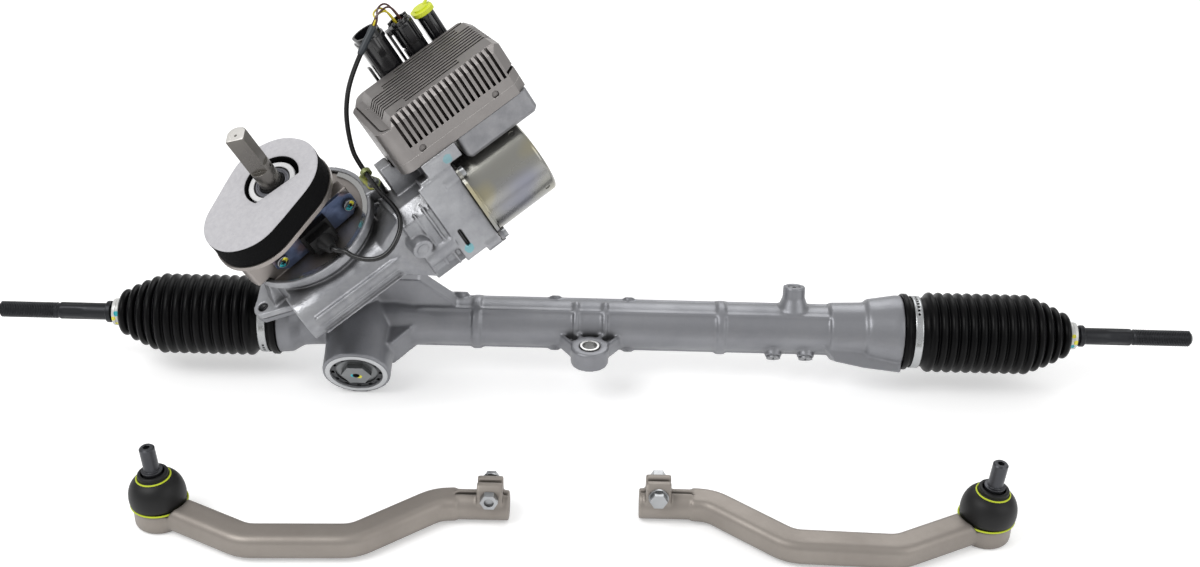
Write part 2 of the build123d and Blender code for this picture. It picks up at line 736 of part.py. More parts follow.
def tube_trim():
    """Parting ledges, ring ribs, ejector pads and the small bosses along the tube."""
    left, right = PINION_X + 50, HOUSING_END_X - SPIGOT_LENGTH
    pieces = []
    for elevation in LEDGE_ELEVATIONS:
        ledge = block(-right, -left, -1.6, 1.6, TUBE_R - 3, TUBE_R + 1.6)
        pieces.append(rack_side(elevation, 0) * Rot(0, 0, 180) * ledge)
    for x in RIB_RINGS:
        pieces.append(RACK * rod(TUBE_R + 2.2, x - 3.4, x + 3.4))
    for x, elevation in PAD_PLACES:
        pieces.append(rack_side(elevation, x) * rod(4.4, TUBE_R - 4, TUBE_R + 3.2))
    pieces.append(rack_side(120, -118) * rod(7.5, TUBE_R - 6, TUBE_R + 4.5))
    vent = turned([(0, 0), (VENT_R + 5, 0), (VENT_R + 5, TUBE_R - 4), (VENT_R, VENT_TOP - 10),
                   (VENT_R, VENT_TOP), (0, VENT_TOP)])
    pieces.append(rack_side(VENT_ELEVATION, VENT_X) * vent)
    for x in PLUG_BOSS_X:
        pieces.append(rack_side(PLUG_ELEVATION, x) * rod(PLUG_BOSS_R, TUBE_R - 6, TUBE_R + 5))
    return pieces


def end_skirt():
    """The deep underside of the free end, before its pockets are cut."""
    back = HOUSING_END_X - SPIGOT_LENGTH
    skirt = prism(
        [(back - 82, 0), (back - 60, -28), (back - 34, -33), (back - 1, -36.5), (back - 1, 0)],
        -17,
        17,
    )
    frame = along((0, -cos(radians(30)), sin(radians(30))), RACK_ORIGIN)
    return frame * skirt


def skirt_pockets():
    """Hollows under the free end."""
    back = HOUSING_END_X - SPIGOT_LENGTH
    frame = along((0, -cos(radians(30)), sin(radians(30))), RACK_ORIGIN)
    pockets = []
    for x0, x1 in ((back - 52, back - 38), (back - 20, back - 10)):
        pockets.append(frame * block(x0, x1, -40, -TUBE_R - 5.5, 4, 13))
        pockets.append(frame * block(x0, x1, -40, -TUBE_R - 5.5, -13, -4))
    return pockets


def centre_bracket():
    """Plate, side walls and ribs that run from the tube to the bolt boss."""
    top = BRACKET_THICK
    root_y = RACK_Y - 6
    boss = rod(BRACKET_BOSS_R, 0, top)
    reach = BRACKET_BOSS_R - 1.2
    plate = prism(
        [(-reach, 2), (reach, 2), (BRACKET_ROOT_HALF, root_y), (-BRACKET_ROOT_HALF, root_y)],
        4,
        9.5,
    )
    pieces = [boss, plate]
    for way in (-1, 1):
        x0, x1 = way * BRACKET_ROOT_HALF, way * (BRACKET_ROOT_HALF - BRACKET_WALL)
        x2, x3 = way * (reach - BRACKET_WALL), way * reach
        pieces.append(prism([(x0, root_y), (x1, root_y), (x2, 3), (x3, 3)], 1, top - 1))
        x = way * BRACKET_RIB_X
        rib = prism([(x - 2, root_y), (x + 2, root_y), (way * 7.5 + 2, 8), (way * 7.5 - 2, 8)], 4, top)
        pieces.append(rib)
        hoop = sleeve(TUBE_R + 2.4, TUBE_R - 2, x - 2, x + 2)
        over = block(-60, 0, -4, 60, x - 3, x + 3)
        pieces.append(RACK * (hoop & over))
    return pieces


def tower_flange(start, end):
    """The joint plate between the two castings, with its three bolt ears."""
    circles = [(0, 0, FLANGE_R)]
    circles += [(*polar(EAR_RADIUS, angle), EAR_R) for angle in EAR_ANGLES]
    return hull_plate(circles, start, end)


def make_rack_housing():
    body = RACK * flared_tube()
    body += tube_trim()
    body += end_skirt()
    body += centre_bracket()
    tower = rod(15.5, LOWER_SEAT[0] - 8, 0) + rod(TOWER_R, 0, TOWER_TOP)
    flange_foot = TOWER_TOP - FLANGE_THICK
    tower += turned([(0, 34), (TOWER_R, 34), (FLANGE_R, flange_foot), (0, flange_foot)])
    tower += tower_flange(TOWER_TOP - FLANGE_THICK, TOWER_TOP)
    body += PINION * tower
    wall = prism([(PINION_X + 20, 0), (PINION_X + 52, 0), (PINION_X + 84, 22), (PINION_X + 52, 46),
                  (PINION_X + 10, 46)], -9, 9)
    body += along((0, -1, 0), RACK_ORIGIN, (1, 0, 0)) * wall
    boss = turned([(0, 0), (YOKE_BOSS_R + 1, 0), (YOKE_BOSS_R + 1, 20), (YOKE_BOSS_R, 40),
                   (YOKE_BOSS_R, YOKE_BOSS_LENGTH), (0, YOKE_BOSS_LENGTH)])
    body += YOKE * boss
    shoulder = prism([(-28, 0), (64, 0), (30, 38), (-28, 38)], -16, 16)
    body += YOKE * Rot(90, 0, 0) * shoulder

    bore_end = STOP_X - STOP_RING_WIDTH
    body -= RACK * rod(TUBE_BORE_R, -bore_end - 1, bore_end + 1)
    for low, high in ((-HOUSING_END_X - 1, -bore_end), (bore_end, HOUSING_END_X + 1)):
        body -= RACK * rod(STOP_RING_R, low, high)
    body -= YOKE * rod(YOKE_R + RUN_FIT, 0, YOKE_BOSS_LENGTH)
    body -= YOKE * rod(YOKE_PLUG_R, YOKE_BOSS_LENGTH - YOKE_PLUG_THICK - 2, YOKE_BOSS_LENGTH + 1)
    body -= PINION * rod(PINION_PITCH_R + 4, LOWER_SEAT[1] - 1, MIDDLE_SEAT[0] + 1)
    body -= PINION * rod(10.5, LOWER_SEAT[0], LOWER_SEAT[1])
    body -= PINION * rod(11.5, LOWER_SEAT[0] - 9, LOWER_SEAT[0])
    body -= PINION * rod(18.0, MIDDLE_SEAT[0], TOWER_TOP + 1)
    body -= rod(BUSH_OUTER_R, -1, BRACKET_THICK + 1)
    for angle in EAR_ANGLES:
        body -= PINION * Pos(*polar(EAR_RADIUS, angle)) * rod(CASE_BOLT_R, TOWER_TOP - 9, TOWER_TOP + 1)
    body -= rack_side(VENT_ELEVATION, VENT_X) * rod(5.0, VENT_TOP - 14, VENT_TOP + 1)
    for x in PLUG_BOSS_X:
        body -= rack_side(PLUG_ELEVATION, x) * rod(PLUG_R, TUBE_R - 3, TUBE_R + 6)
    body -= skirt_pockets()
    body -= WORM * rod(WORM_TUBE_R + 0.5, -60, MOTOR_BLOCK_START)
    keep("rack_housing", body)


# Small pieces that the rack housing carries
def make_housing_fittings():
    keep("centre_bush", sleeve(BUSH_OUTER_R, BUSH_BORE_R, 0, BRACKET_THICK + 0.5))
    bore_end = STOP_X - STOP_RING_WIDTH
    rings = [
        RACK * sleeve(STOP_RING_R, STOP_RING_BORE_R, bore_end, STOP_X),
        RACK * sleeve(STOP_RING_R, STOP_RING_BORE_R, -STOP_X, -bore_end),
    ]
    keep("rack_stops", Compound(children=rings))
    bush = sleeve(TUBE_BORE_R, RACK_R + RUN_FIT, bore_end - 34, bore_end - 12)
    bush -= block(-1, 1, -20, 0, bore_end - 35, bore_end - 11)
    keep("rack_bush", RACK * bush)

    yoke_back = YOKE_BOSS_LENGTH - YOKE_PLUG_THICK - 3
    yoke = rod(YOKE_R, 4, yoke_back - 1)
    yoke -= Rot(0, 90, 0) * Cylinder(RACK_R + RUN_FIT, 90)
    yoke -= rod(11, 26, yoke_back)
    for level in (24.5, yoke_back - 6):
        yoke -= sleeve(YOKE_R + 1, YOKE_R - 1.6, level - 1.3, level + 1.3)
    keep("yoke", YOKE * yoke)
    for level in (24.5, yoke_back - 6):
        rubber_seals.append(YOKE * sleeve(YOKE_R, YOKE_R - 1.6, level - 1.2, level + 1.2))
    plug_start = YOKE_BOSS_LENGTH - YOKE_PLUG_THICK
    coils = 4
    wire_r = 1.6
    spring_r = 8.0
    low, high = 26 + wire_r + 0.1, plug_start - wire_r - 0.1
    helix = Helix(pitch=(high - low) / coils, height=high - low, radius=spring_r)
    wire = sweep(Plane(origin=helix @ 0, z_dir=helix % 0) * Circle(wire_r), path=helix)
    keep("yoke_spring", YOKE * Pos(0, 0, low) * wire)

    plug = rod(YOKE_PLUG_R - 4, plug_start, YOKE_BOSS_LENGTH - 3)
    plug += extrude(Pos(0, 0, YOKE_BOSS_LENGTH - 3) * RegularPolygon(11.5, 6, major_radius=False), amount=5)
    plug -= rod(3.2, YOKE_BOSS_LENGTH - 4, YOKE_BOSS_LENGTH + 3)
    keep("yoke_plug", YOKE * plug)
    ring = sleeve(YOKE_PLUG_R, YOKE_PLUG_R - 4, plug_start, YOKE_BOSS_LENGTH - 1.5)
    for angle in range(0, 360, 30):
        notch = block(YOKE_PLUG_R - 3, YOKE_PLUG_R + 1, -2, 2, YOKE_BOSS_LENGTH - 5, YOKE_BOSS_LENGTH)
        ring -= Rot(0, 0, angle) * notch
    keep("yoke_lock_ring", YOKE * ring)

    plugs = []
    for x in PLUG_BOSS_X:
        stem = rod(PLUG_R, TUBE_R - 3, TUBE_R + 5) + rod(PLUG_R + 1.8, TUBE_R + 5, TUBE_R + 6.6)
        stem -= block(-0.7, 0.7, -4, 4, TUBE_R + 5.8, TUBE_R + 7)
        plugs.append(rack_side(PLUG_ELEVATION, x) * stem)
    valve = sleeve(5.0, 1.8, VENT_TOP - 14, VENT_TOP - 1)
    plugs.append(rack_side(VENT_ELEVATION, VENT_X) * valve)
    cap = rod(11.5, LOWER_SEAT[0] - 8, LOWER_SEAT[0])
    cap -= extrude(Pos(0, 0, LOWER_SEAT[0] - 8) * RegularPolygon(5, 6), amount=4)
    plugs.append(PINION * cap)
    keep("housing_plugs", Compound(children=plugs))


# Gear case: the upper casting with the wheel bowl, worm tube and motor block
def ear_gusset(half):
    """A wedge that carries a bolt ear up to the bowl's rim."""
    corners = [
        (46, TOWER_TOP),
        (62.5, TOWER_TOP),
        (62.5, CASE_FLOOR_TOP + 1),
        (55, RECESS_FLOOR - 14),
        (46, RECESS_FLOOR - 14),
    ]
    return Rot(90, 0, 0) * prism(corners, -half, half)


def motor_block():
    """The eight-sided block that the motor is screwed to, with a boss behind each screw."""
    half = MOTOR_BLOCK_HALF
    cut = 12.0
    corners = [(-half + cut, -half), (half - cut, -half), (half, -half + cut), (half, half - cut),
               (half - cut, half), (-half + cut, half), (-half, half - cut), (-half, -half + cut)]
    body = prism(corners, MOTOR_BLOCK_START, MOTOR_FACE)
    for x, y in MOTOR_SCREW_PLACES:
        body += Pos(x, y) * rod(6.0, MOTOR_FACE - 14, MOTOR_FACE)
    return body


def block_face():
    """Raised plate, two ridges and a long screw boss on the block's front face."""
    front = -MOTOR_BLOCK_HALF
    inside = front + 2
    pieces = [block(front - 2.5, inside, -33, 44, 90, MOTOR_FACE)]
    pieces.append(block(front - 1.8, inside, -31, 33, 83.5, 85.5))
    pieces.append(block(front - 1.4, inside, -26, 30, 74.5, 76.3))
    pieces.append(Pos(front + 3.5, -12) * rod(8.0, MOTOR_BLOCK_START, 91))
    pieces.append(block(front - 1.5, -26, 46, UNIT_BASE_H, 103, 137))
    pieces.append(block(front - 1.0, -20, 33, 47, 94, MOTOR_FACE))
    return pieces


def unit_seat():
    """The walls of the casting that rise to the control unit's tray."""
    body = block(-34, 28, 20, UNIT_BASE_H, 104, MOTOR_FACE)
    body += block(0, 24, 20, UNIT_BASE_H, 76, 105)
    body += block(0, 22, 50, UNIT_BASE_H + 5, 76, UNIT_M[0] - 0.6)
    return body


def make_gear_case():
    floor = tower_flange(TOWER_TOP, CASE_FLOOR_TOP)
    body = floor + rod(BOWL_R, TOWER_TOP, RECESS_FLOOR)
    body += turned(
        [
            (0, RECESS_FLOOR - 14),
            (BOWL_R, RECESS_FLOOR - 14),
            (RIM_R - 2, RIM_TOP - RIM_THICK),
            (RIM_R, RIM_TOP - RIM_THICK + 1),
            (RIM_R, RIM_TOP),
            (0, RIM_TOP),
        ]
    )
    for x, y, radius in CASE_LUGS:
        body += hull_plate([(x, y, radius), (x * 0.8, y * 0.8, radius)], RIM_TOP - 12, RIM_TOP + 2)
    for angle in EAR_ANGLES:
        body += Rot(0, 0, angle) * ear_gusset(9.0 if angle == OPEN_EAR else 3.0)
    body = PINION * body

    body += WORM * rod(WORM_TUBE_R, WORM_TUBE_START, MOTOR_BLOCK_START)
    body += WORM * block(0, 35, -18, 21.5, -46, 50)
    body += MOTOR * motor_block()
    shoulder = loft(
        [
            Pos(0, 0, MOTOR_BLOCK_START - 24) * Circle(WORM_TUBE_R - 0.5),
            Pos(0, 0, MOTOR_BLOCK_START + 0.5) * Rectangle(62, 62),
        ]
    )
    body += MOTOR * shoulder
    body += [MOTOR * piece for piece in block_face()]
    lug = along((-1, 0, 0), (0, 17, 65), (0, 0, 1))
    body += WORM * lug * rod(9, 0, 39)
    for y in (-18, 0, 18):
        body += WORM * block(-WORM_TUBE_R - 1.4, 0, y * 0.55 - 0.9, y * 0.55 + 0.9, -40, MOTOR_BLOCK_START)
    body += MOTOR * unit_seat()

    body -= PINION * rod(BOWL_BORE_R, CASE_FLOOR_TOP, RECESS_FLOOR + 1)
    body -= PINION * rod(RIM_BORE_R, RECESS_FLOOR, RIM_TOP + 9)
    body -= PINION * rod(18.5, TOWER_TOP - 1, CASE_FLOOR_TOP + 1)
    body -= WORM * rod(WORM_BORE_R, WORM_TUBE_START + 4, MOTOR_BLOCK_START + 6)
    body -= WORM * rod(MOTOR_BLOCK_BORE_R, MOTOR_BLOCK_START + 5, MOTOR_FACE + 1)
    body -= WORM * lug * rod(5.5, 37.8, 40)
    for x, y in MOTOR_SCREW_PLACES:
        body -= MOTOR * Pos(x, y) * rod(2.5, MOTOR_FACE - 12, MOTOR_FACE + 1)
    body -= MOTOR * block(-MOTOR_BLOCK_HALF - 4, -MOTOR_BLOCK_HALF + 3, -22, -5, 97, 100)
    m, d = UNIT_SCREWS[2]
    body -= MOTOR * Pos(d, 0, m) * Rot(-90, 0, 0) * rod(5.2, 0, UNIT_BASE_H)
    for angle in EAR_ANGLES:
        body -= PINION * Pos(*polar(EAR_RADIUS, angle)) * rod(CASE_BOLT_R + 0.4, TOWER_TOP - 1, RECESS_FLOOR)
    for x, y, radius in CASE_LUGS:
        body -= PINION * Pos(x, y) * rod(2.2, RIM_TOP - 8, RIM_TOP + 3)
    keep("gear_case", body)

    # The hole of the ear over the yoke stands open
    for angle in EAR_ANGLES:
        if angle == OPEN_EAR:
            continue
        place = Pos(*polar(EAR_RADIUS, angle), CASE_FLOOR_TOP)
        long_bolt = bolt(CASE_BOLT_R, CASE_FLOOR_TOP - TOWER_TOP + 8, 13, 7.5, 8.4)
        case_screws.append(PINION * place * long_bolt)


# Torque sensor housing, its screw plate and cable boot, and the bulkhead gasket above it
def sensor_outline(grow):
    lobes = [(x, y, radius + grow) for x, y, radius in (SENSOR_LOBE_A, SENSOR_LOBE_B)]
    return lobes


def on_flat():
    """A frame on the housing's flat, with Z outwards and Y along the pinion."""
    out = Vector(*polar(1, SENSOR_FLAT_DEG), 0)
    return Plane(origin=out * SENSOR_FLAT, x_dir=Vector(0, 0, 1).cross(out), z_dir=out)


def make_sensor_group():
    flat = on_flat()
    body = hull_plate(sensor_outline(0), RECESS_FLOOR + 1, SENSOR_TOP)
    body -= sleeve(120, RIM_BORE_R - 0.5, RECESS_FLOOR, RIM_TOP + 2.4)
    body -= flat * block(-90, 90, 0, 200, 0, 60)
    body -= flat * block(-90, 90, -200, 0, 0, 60)
    body += flat * block(-SENSOR_PLATE_HALF, SENSOR_PLATE_HALF, SENSOR_PLATE_LOW, SENSOR_PLATE_HIGH, -13, 0)
    body &= rod(90, RECESS_FLOOR, SENSOR_TOP)
    body += rod(RIM_BORE_R - 0.5, RECESS_FLOOR, RECESS_FLOOR + 5)
    body += rod(24, UPPER_SEAT[0] - 1, RECESS_FLOOR + 1)
    body += rod(NECK_R, SENSOR_TOP - 1, NECK_TOP)
    body -= rod(UPPER_SEAT_R, UPPER_SEAT[0] - 2, UPPER_SEAT[1])
    body -= rod(14, UPPER_SEAT[1] - 1, RECESS_FLOOR + 6)
    body -= rod(22, RECESS_FLOOR + 5, SENSOR_TOP - 6)
    body -= rod(13, SENSOR_TOP - 7, TOP_SEAT[0] + 1)
    body -= rod(TOP_SEAT_R, TOP_SEAT[0], NECK_TOP + 1)
    body -= flat * block(-9, 9, 124, 142, -16, 1)
    for x in (-SENSOR_SCREW_X, SENSOR_SCREW_X):
        body -= flat * Pos(x, SENSOR_SCREW_T) * rod(2.4, -9, 1)
    keep("sensor_housing", PINION * body)

    coil = sleeve(21.6, INPUT_R + 3.0, 120, 136)
    keep("sensor_coil", PINION * coil)

    low, high = SENSOR_PLATE_LOW, SENSOR_PLATE_HIGH
    half = SENSOR_PLATE_HALF
    corners = [(-half, low + 8), (-half + 8, low), (half - 8, low), (half, low + 8),
               (half, high - 8), (half - 8, high), (-half + 8, high), (-half, high - 8)]
    plate = prism(corners, 0, 3)
    plate -= block(-8, 8, 125, 141, -1, 4)
    for x in (-SENSOR_SCREW_X, SENSOR_SCREW_X):
        plate -= Pos(x, SENSOR_SCREW_T) * rod(2.9, -1, 4)
    keep("sensor_plate", PINION * flat * plate)
    for x in (-SENSOR_SCREW_X, SENSOR_SCREW_X):
        screw = rod(2.4, -8, 3.01) + rod(5.2, 3, 6.5)
        screw -= extrude(Pos(0, 0, 4.2) * RegularPolygon(2.4, 6), amount=4)
        case_screws.append(PINION * flat * Pos(x, SENSOR_SCREW_T) * screw)
    boot = block(-14, 14, 121, 143, 3, 10) + block(-11, 11, 122.5, 139.5, 9, 18)
    cone = [(0, 17), (8.4, 17), (6.0, 24), (4.4, SENSOR_BOOT_OUT), (0, SENSOR_BOOT_OUT)]
    boot += Pos(0, SENSOR_SCREW_T - 2) * turned(cone)
    boot += block(-7.5, 7.5, 125.5, 140.5, -4.3, 3.01)
    boot -= Pos(0, SENSOR_SCREW_T - 2) * rod(CABLE_R, 12, SENSOR_BOOT_OUT + 1)
    keep("sensor_boot", PINION * flat * boot)

    ring = sleeve(RIM_BORE_R, RIM_BORE_R - 4.5, RECESS_FLOOR + 5, RECESS_FLOOR + 6.6)
    ring -= Rot(0, 0, 70) * block(40, 70, -5, 5, RECESS_FLOOR, RECESS_FLOOR + 9)
    keep("case_ring", PINION * (ring - hull_plate(sensor_outline(0.4), RECESS_FLOOR, SENSOR_TOP)))

    plate = hull_plate([(x, y, r + FOAM_GROW + 1.0) for x, y, r in (SENSOR_LOBE_A, SENSOR_LOBE_B)],
                       SENSOR_TOP, FOAM_START)
    plate -= rod(NECK_R + 0.3, SENSOR_TOP - 1, FOAM_START + 1)
    keep("gasket_plate", PINION * plate)
    foam = hull_plate(sensor_outline(FOAM_GROW), FOAM_START, FOAM_TOP)
    hole = Pos(2, -1) * rod(FOAM_HOLE_R, FOAM_START - 1, FOAM_TOP + 1)
    out = Plane(origin=(0, 0, 0), x_dir=Vector(0.555, -0.832, 0))
    hole -= Pos(2, -1) * out * block(FOAM_HOLE_FLAT, 60, -60, 60, FOAM_START - 2, FOAM_TOP + 2)
    hole -= Pos(2, -1) * out * block(FOAM_LIP_FLAT, 60, -60, 60, NECK_TOP + 2.4, FOAM_TOP + 2)
    keep("foam_gasket", PINION * (foam - hole))
    seal = sleeve(TOP_SEAT_R, INPUT_R + RUN_FIT, TOP_SEAT[1] + 0.2, NECK_TOP - 0.6)
    seal -= sleeve(TOP_SEAT_R - 2.5, INPUT_R + 2.4, NECK_TOP - 2.2, NECK_TOP)
    seal += sleeve(NECK_R, TOP_SEAT_R - 1.5, NECK_TOP, NECK_TOP + 1.2)
    seal += sleeve(TOP_SEAT_R, TOP_SEAT_R - 1.5, NECK_TOP - 2.5, NECK_TOP + 0.5)
    rubber_seals.append(PINION * seal)


# Worm, motor shaft and motor
def make_motor_group():
    lead = pi * WORM_MODULE * WORM_STARTS
    half = WORM_LENGTH / 2
    worm = twisted(worm_outline(), -half, half, degrees(WORM_LENGTH / lead * 2 * pi))
    worm += rod(WORM_SHAFT_R, WORM_SEAT_A[0], 52)
    keep("worm", WORM * worm)
    shaft = rod(MOTOR_SHAFT_R, 62, MOTOR_SEAT[1] - 0.5)
    coupling = rod(14, 52, 62) + rod(10.5, 44, 52) + rod(10.5, 62, 70)
    coupling -= rod(WORM_SHAFT_R, 43, 52)
    coupling -= rod(MOTOR_SHAFT_R, 62, 71)
    for angle in range(0, 360, 60):
        coupling -= Rot(0, 0, angle) * block(11.2, 16, -1.4, 1.4, 51, 63)
    keep("motor_shaft", Compound(children=[WORM * shaft, WORM * coupling]))
    start = MOTOR_FACE + 10
    rotor = sleeve(ROTOR_R, MOTOR_SHAFT_R, start, start + ROTOR_LENGTH)
    for angle in range(0, 360, 60):
        rotor -= Pos(*polar(ROTOR_R - 8, angle)) * rod(3, start - 1, start + ROTOR_LENGTH + 1)
    keep("rotor", WORM * rotor)
    inner = CAN_R - CAN_WALL
    stator = sleeve(inner, STATOR_BORE_R, start, start + ROTOR_LENGTH)
    for angle in range(0, 360, 30):
        slot = block(STATOR_BORE_R + 3, inner - 4, -3, 3, start - 1, start + ROTOR_LENGTH + 1)
        stator -= Rot(0, 0, angle) * slot
    coils = []
    for angle in range(0, 360, 30):
        coil = block(STATOR_BORE_R + 3.2, inner - 4.2, -2.6, 2.6, start - 3, start + ROTOR_LENGTH + 1)
        coils.append(WORM * Rot(0, 0, angle) * coil)
    keep("stator", Compound(children=[WORM * stator] + coils))

    half = MOTOR_PLATE_HALF
    cut = 17.0
    plate = prism(
        [(-half + cut, -half), (half - cut, -half), (half, -half + cut), (half, half - cut),
         (half - cut, half), (-half + cut, half), (-half, half - cut), (-half, -half + cut)],
        MOTOR_FACE,
        CAN_START,
    )
    plate += rod(MOTOR_BLOCK_BORE_R, MOTOR_FACE - 4, MOTOR_FACE + 0.01)
    plate -= rod(MOTOR_BLOCK_BORE_R - 4, MOTOR_FACE - 5, CAN_START + 1)
    for x, y in MOTOR_SCREW_PLACES:
        plate += Pos(x, y) * rod(6.0, MOTOR_FACE, CAN_START)
        plate -= Pos(x, y) * rod(2.9, MOTOR_FACE - 1, CAN_START + 1)
    can = rod(CAN_R, CAN_START, CAN_END)
    can = fillet(can.edges().filter_by(GeomType.CIRCLE).sort_by(Axis.Z)[-1], 3.0)
    can -= rod(inner, CAN_START - 1, CAN_END - CAN_WALL)
    can += sleeve(MOTOR_SEAT_R + 1.8, MOTOR_SEAT_R, MOTOR_SEAT[0], CAN_END - 1)
    can += sleeve(CAN_R + 2.4, CAN_R - 1, CAN_START, CAN_START + 1.8)
    for angle in (0, 90, 180, 270):
        dimple = Rot(0, 0, angle + 40) * Rot(0, 90, 0)
        can -= Pos(0, 0, CAN_END - 9) * dimple * rod(2.4, CAN_R - 0.7, CAN_R + 2)
    keep("motor_can", MOTOR * (can + plate))
    for x, y in MOTOR_SCREW_PLACES:
        screw = rod(2.5, MOTOR_FACE - 10, CAN_START + 0.01) + rod(4.6, CAN_START, CAN_START + 4)
        screw -= extrude(Pos(0, 0, CAN_START + 1.6) * RegularPolygon(2.3, 6), amount=3)
        case_screws.append(MOTOR * Pos(x, y) * screw)


# Control unit: base tray, finned cover, board, terminal box and connectors
def unit_profile(d0, d1, h0, front_h, back_h, m0, m1):
    """A length along the motor whose top rises from front to back."""
    side = Plane(origin=(m0, 0, 0), x_dir=(0, 1, 0), z_dir=(1, 0, 0))
    outline = Polyline((d0, h0), (d1, h0), (d1, back_h), (d0, front_h), close=True)
    return extrude(side * make_face(outline), amount=m1 - m0)


def plan_corners(body, left, right):
    """Rounded corners at the left end and bevelled ones at the right."""
    body = chamfer(body.edges().filter_by(Axis.Z).sort_by(Axis.X)[-2:], right)
    return fillet(body.edges().filter_by(Axis.Z).sort_by(Axis.X)[:2], left)


def unit_cover_body():
    """The closed cover: grooved deck, step at its left end, shoulder beside it and plug shelf."""
    m0, m1 = UNIT_M
    d0, d1 = UNIT_D
    rise = UNIT_TOP_RISE
    split = UNIT_SPLIT_H
    deck = Plane(origin=(0, d0, UNIT_TOP_H), x_dir=(1, 0, 0), z_dir=(0, -rise, d1 - d0))
    body = unit_profile(d0, d1, split, UNIT_TOP_H, UNIT_TOP_H + rise, m0, m1)
    body = plan_corners(body, 12, 9)
    rim = -DECK_STEP
    lying = deck * Rot(90, 0, 0)
    left_step = [(m0 - 5, rim), (DECK_M + rim, rim), (DECK_M, 0), (DECK_M, 9), (m0 - 5, 9)]
    body -= lying * prism(left_step, -100, 5)
    body -= lying * prism([(m1 - 5, 0), (m1 + 5, -10), (m1 + 5, 9), (m1 - 5, 9)], -100, 5)
    front = Plane(origin=(m0 - 5, 0, 0), x_dir=(0, 1, 0), z_dir=(1, 0, 0))
    edge = [(d0 - 1, UNIT_TOP_H - 6), (d0 + 8, UNIT_TOP_H + 3), (d0 - 1, UNIT_TOP_H + 3)]
    body -= front * prism(edge, 0, m1 - m0 + 10)

    body += hull_plate([(102, 34, 12), (109.5, 57, 11.5)], split, UNIT_TOP_H + 1)
    body += block(SHELF_M[0] - 14, SHELF_M[1], d1 - 1, SHELF_D, split, SHELF_H)
    groove_ring = hull_plate([(102, -24, 9.5), (102, 34, 9.5), (125, -24, 9.5), (109, 54, 10)], 90, 130)
    groove_ring -= hull_plate([(102, -24, 7.7), (102, 34, 7.7), (125, -24, 7.7), (109, 54, 8.2)], 89, 131)
    body -= groove_ring & (deck * block(m0, DECK_M + rim - 1, 0, 90, rim - 2.2, 9))
    return body


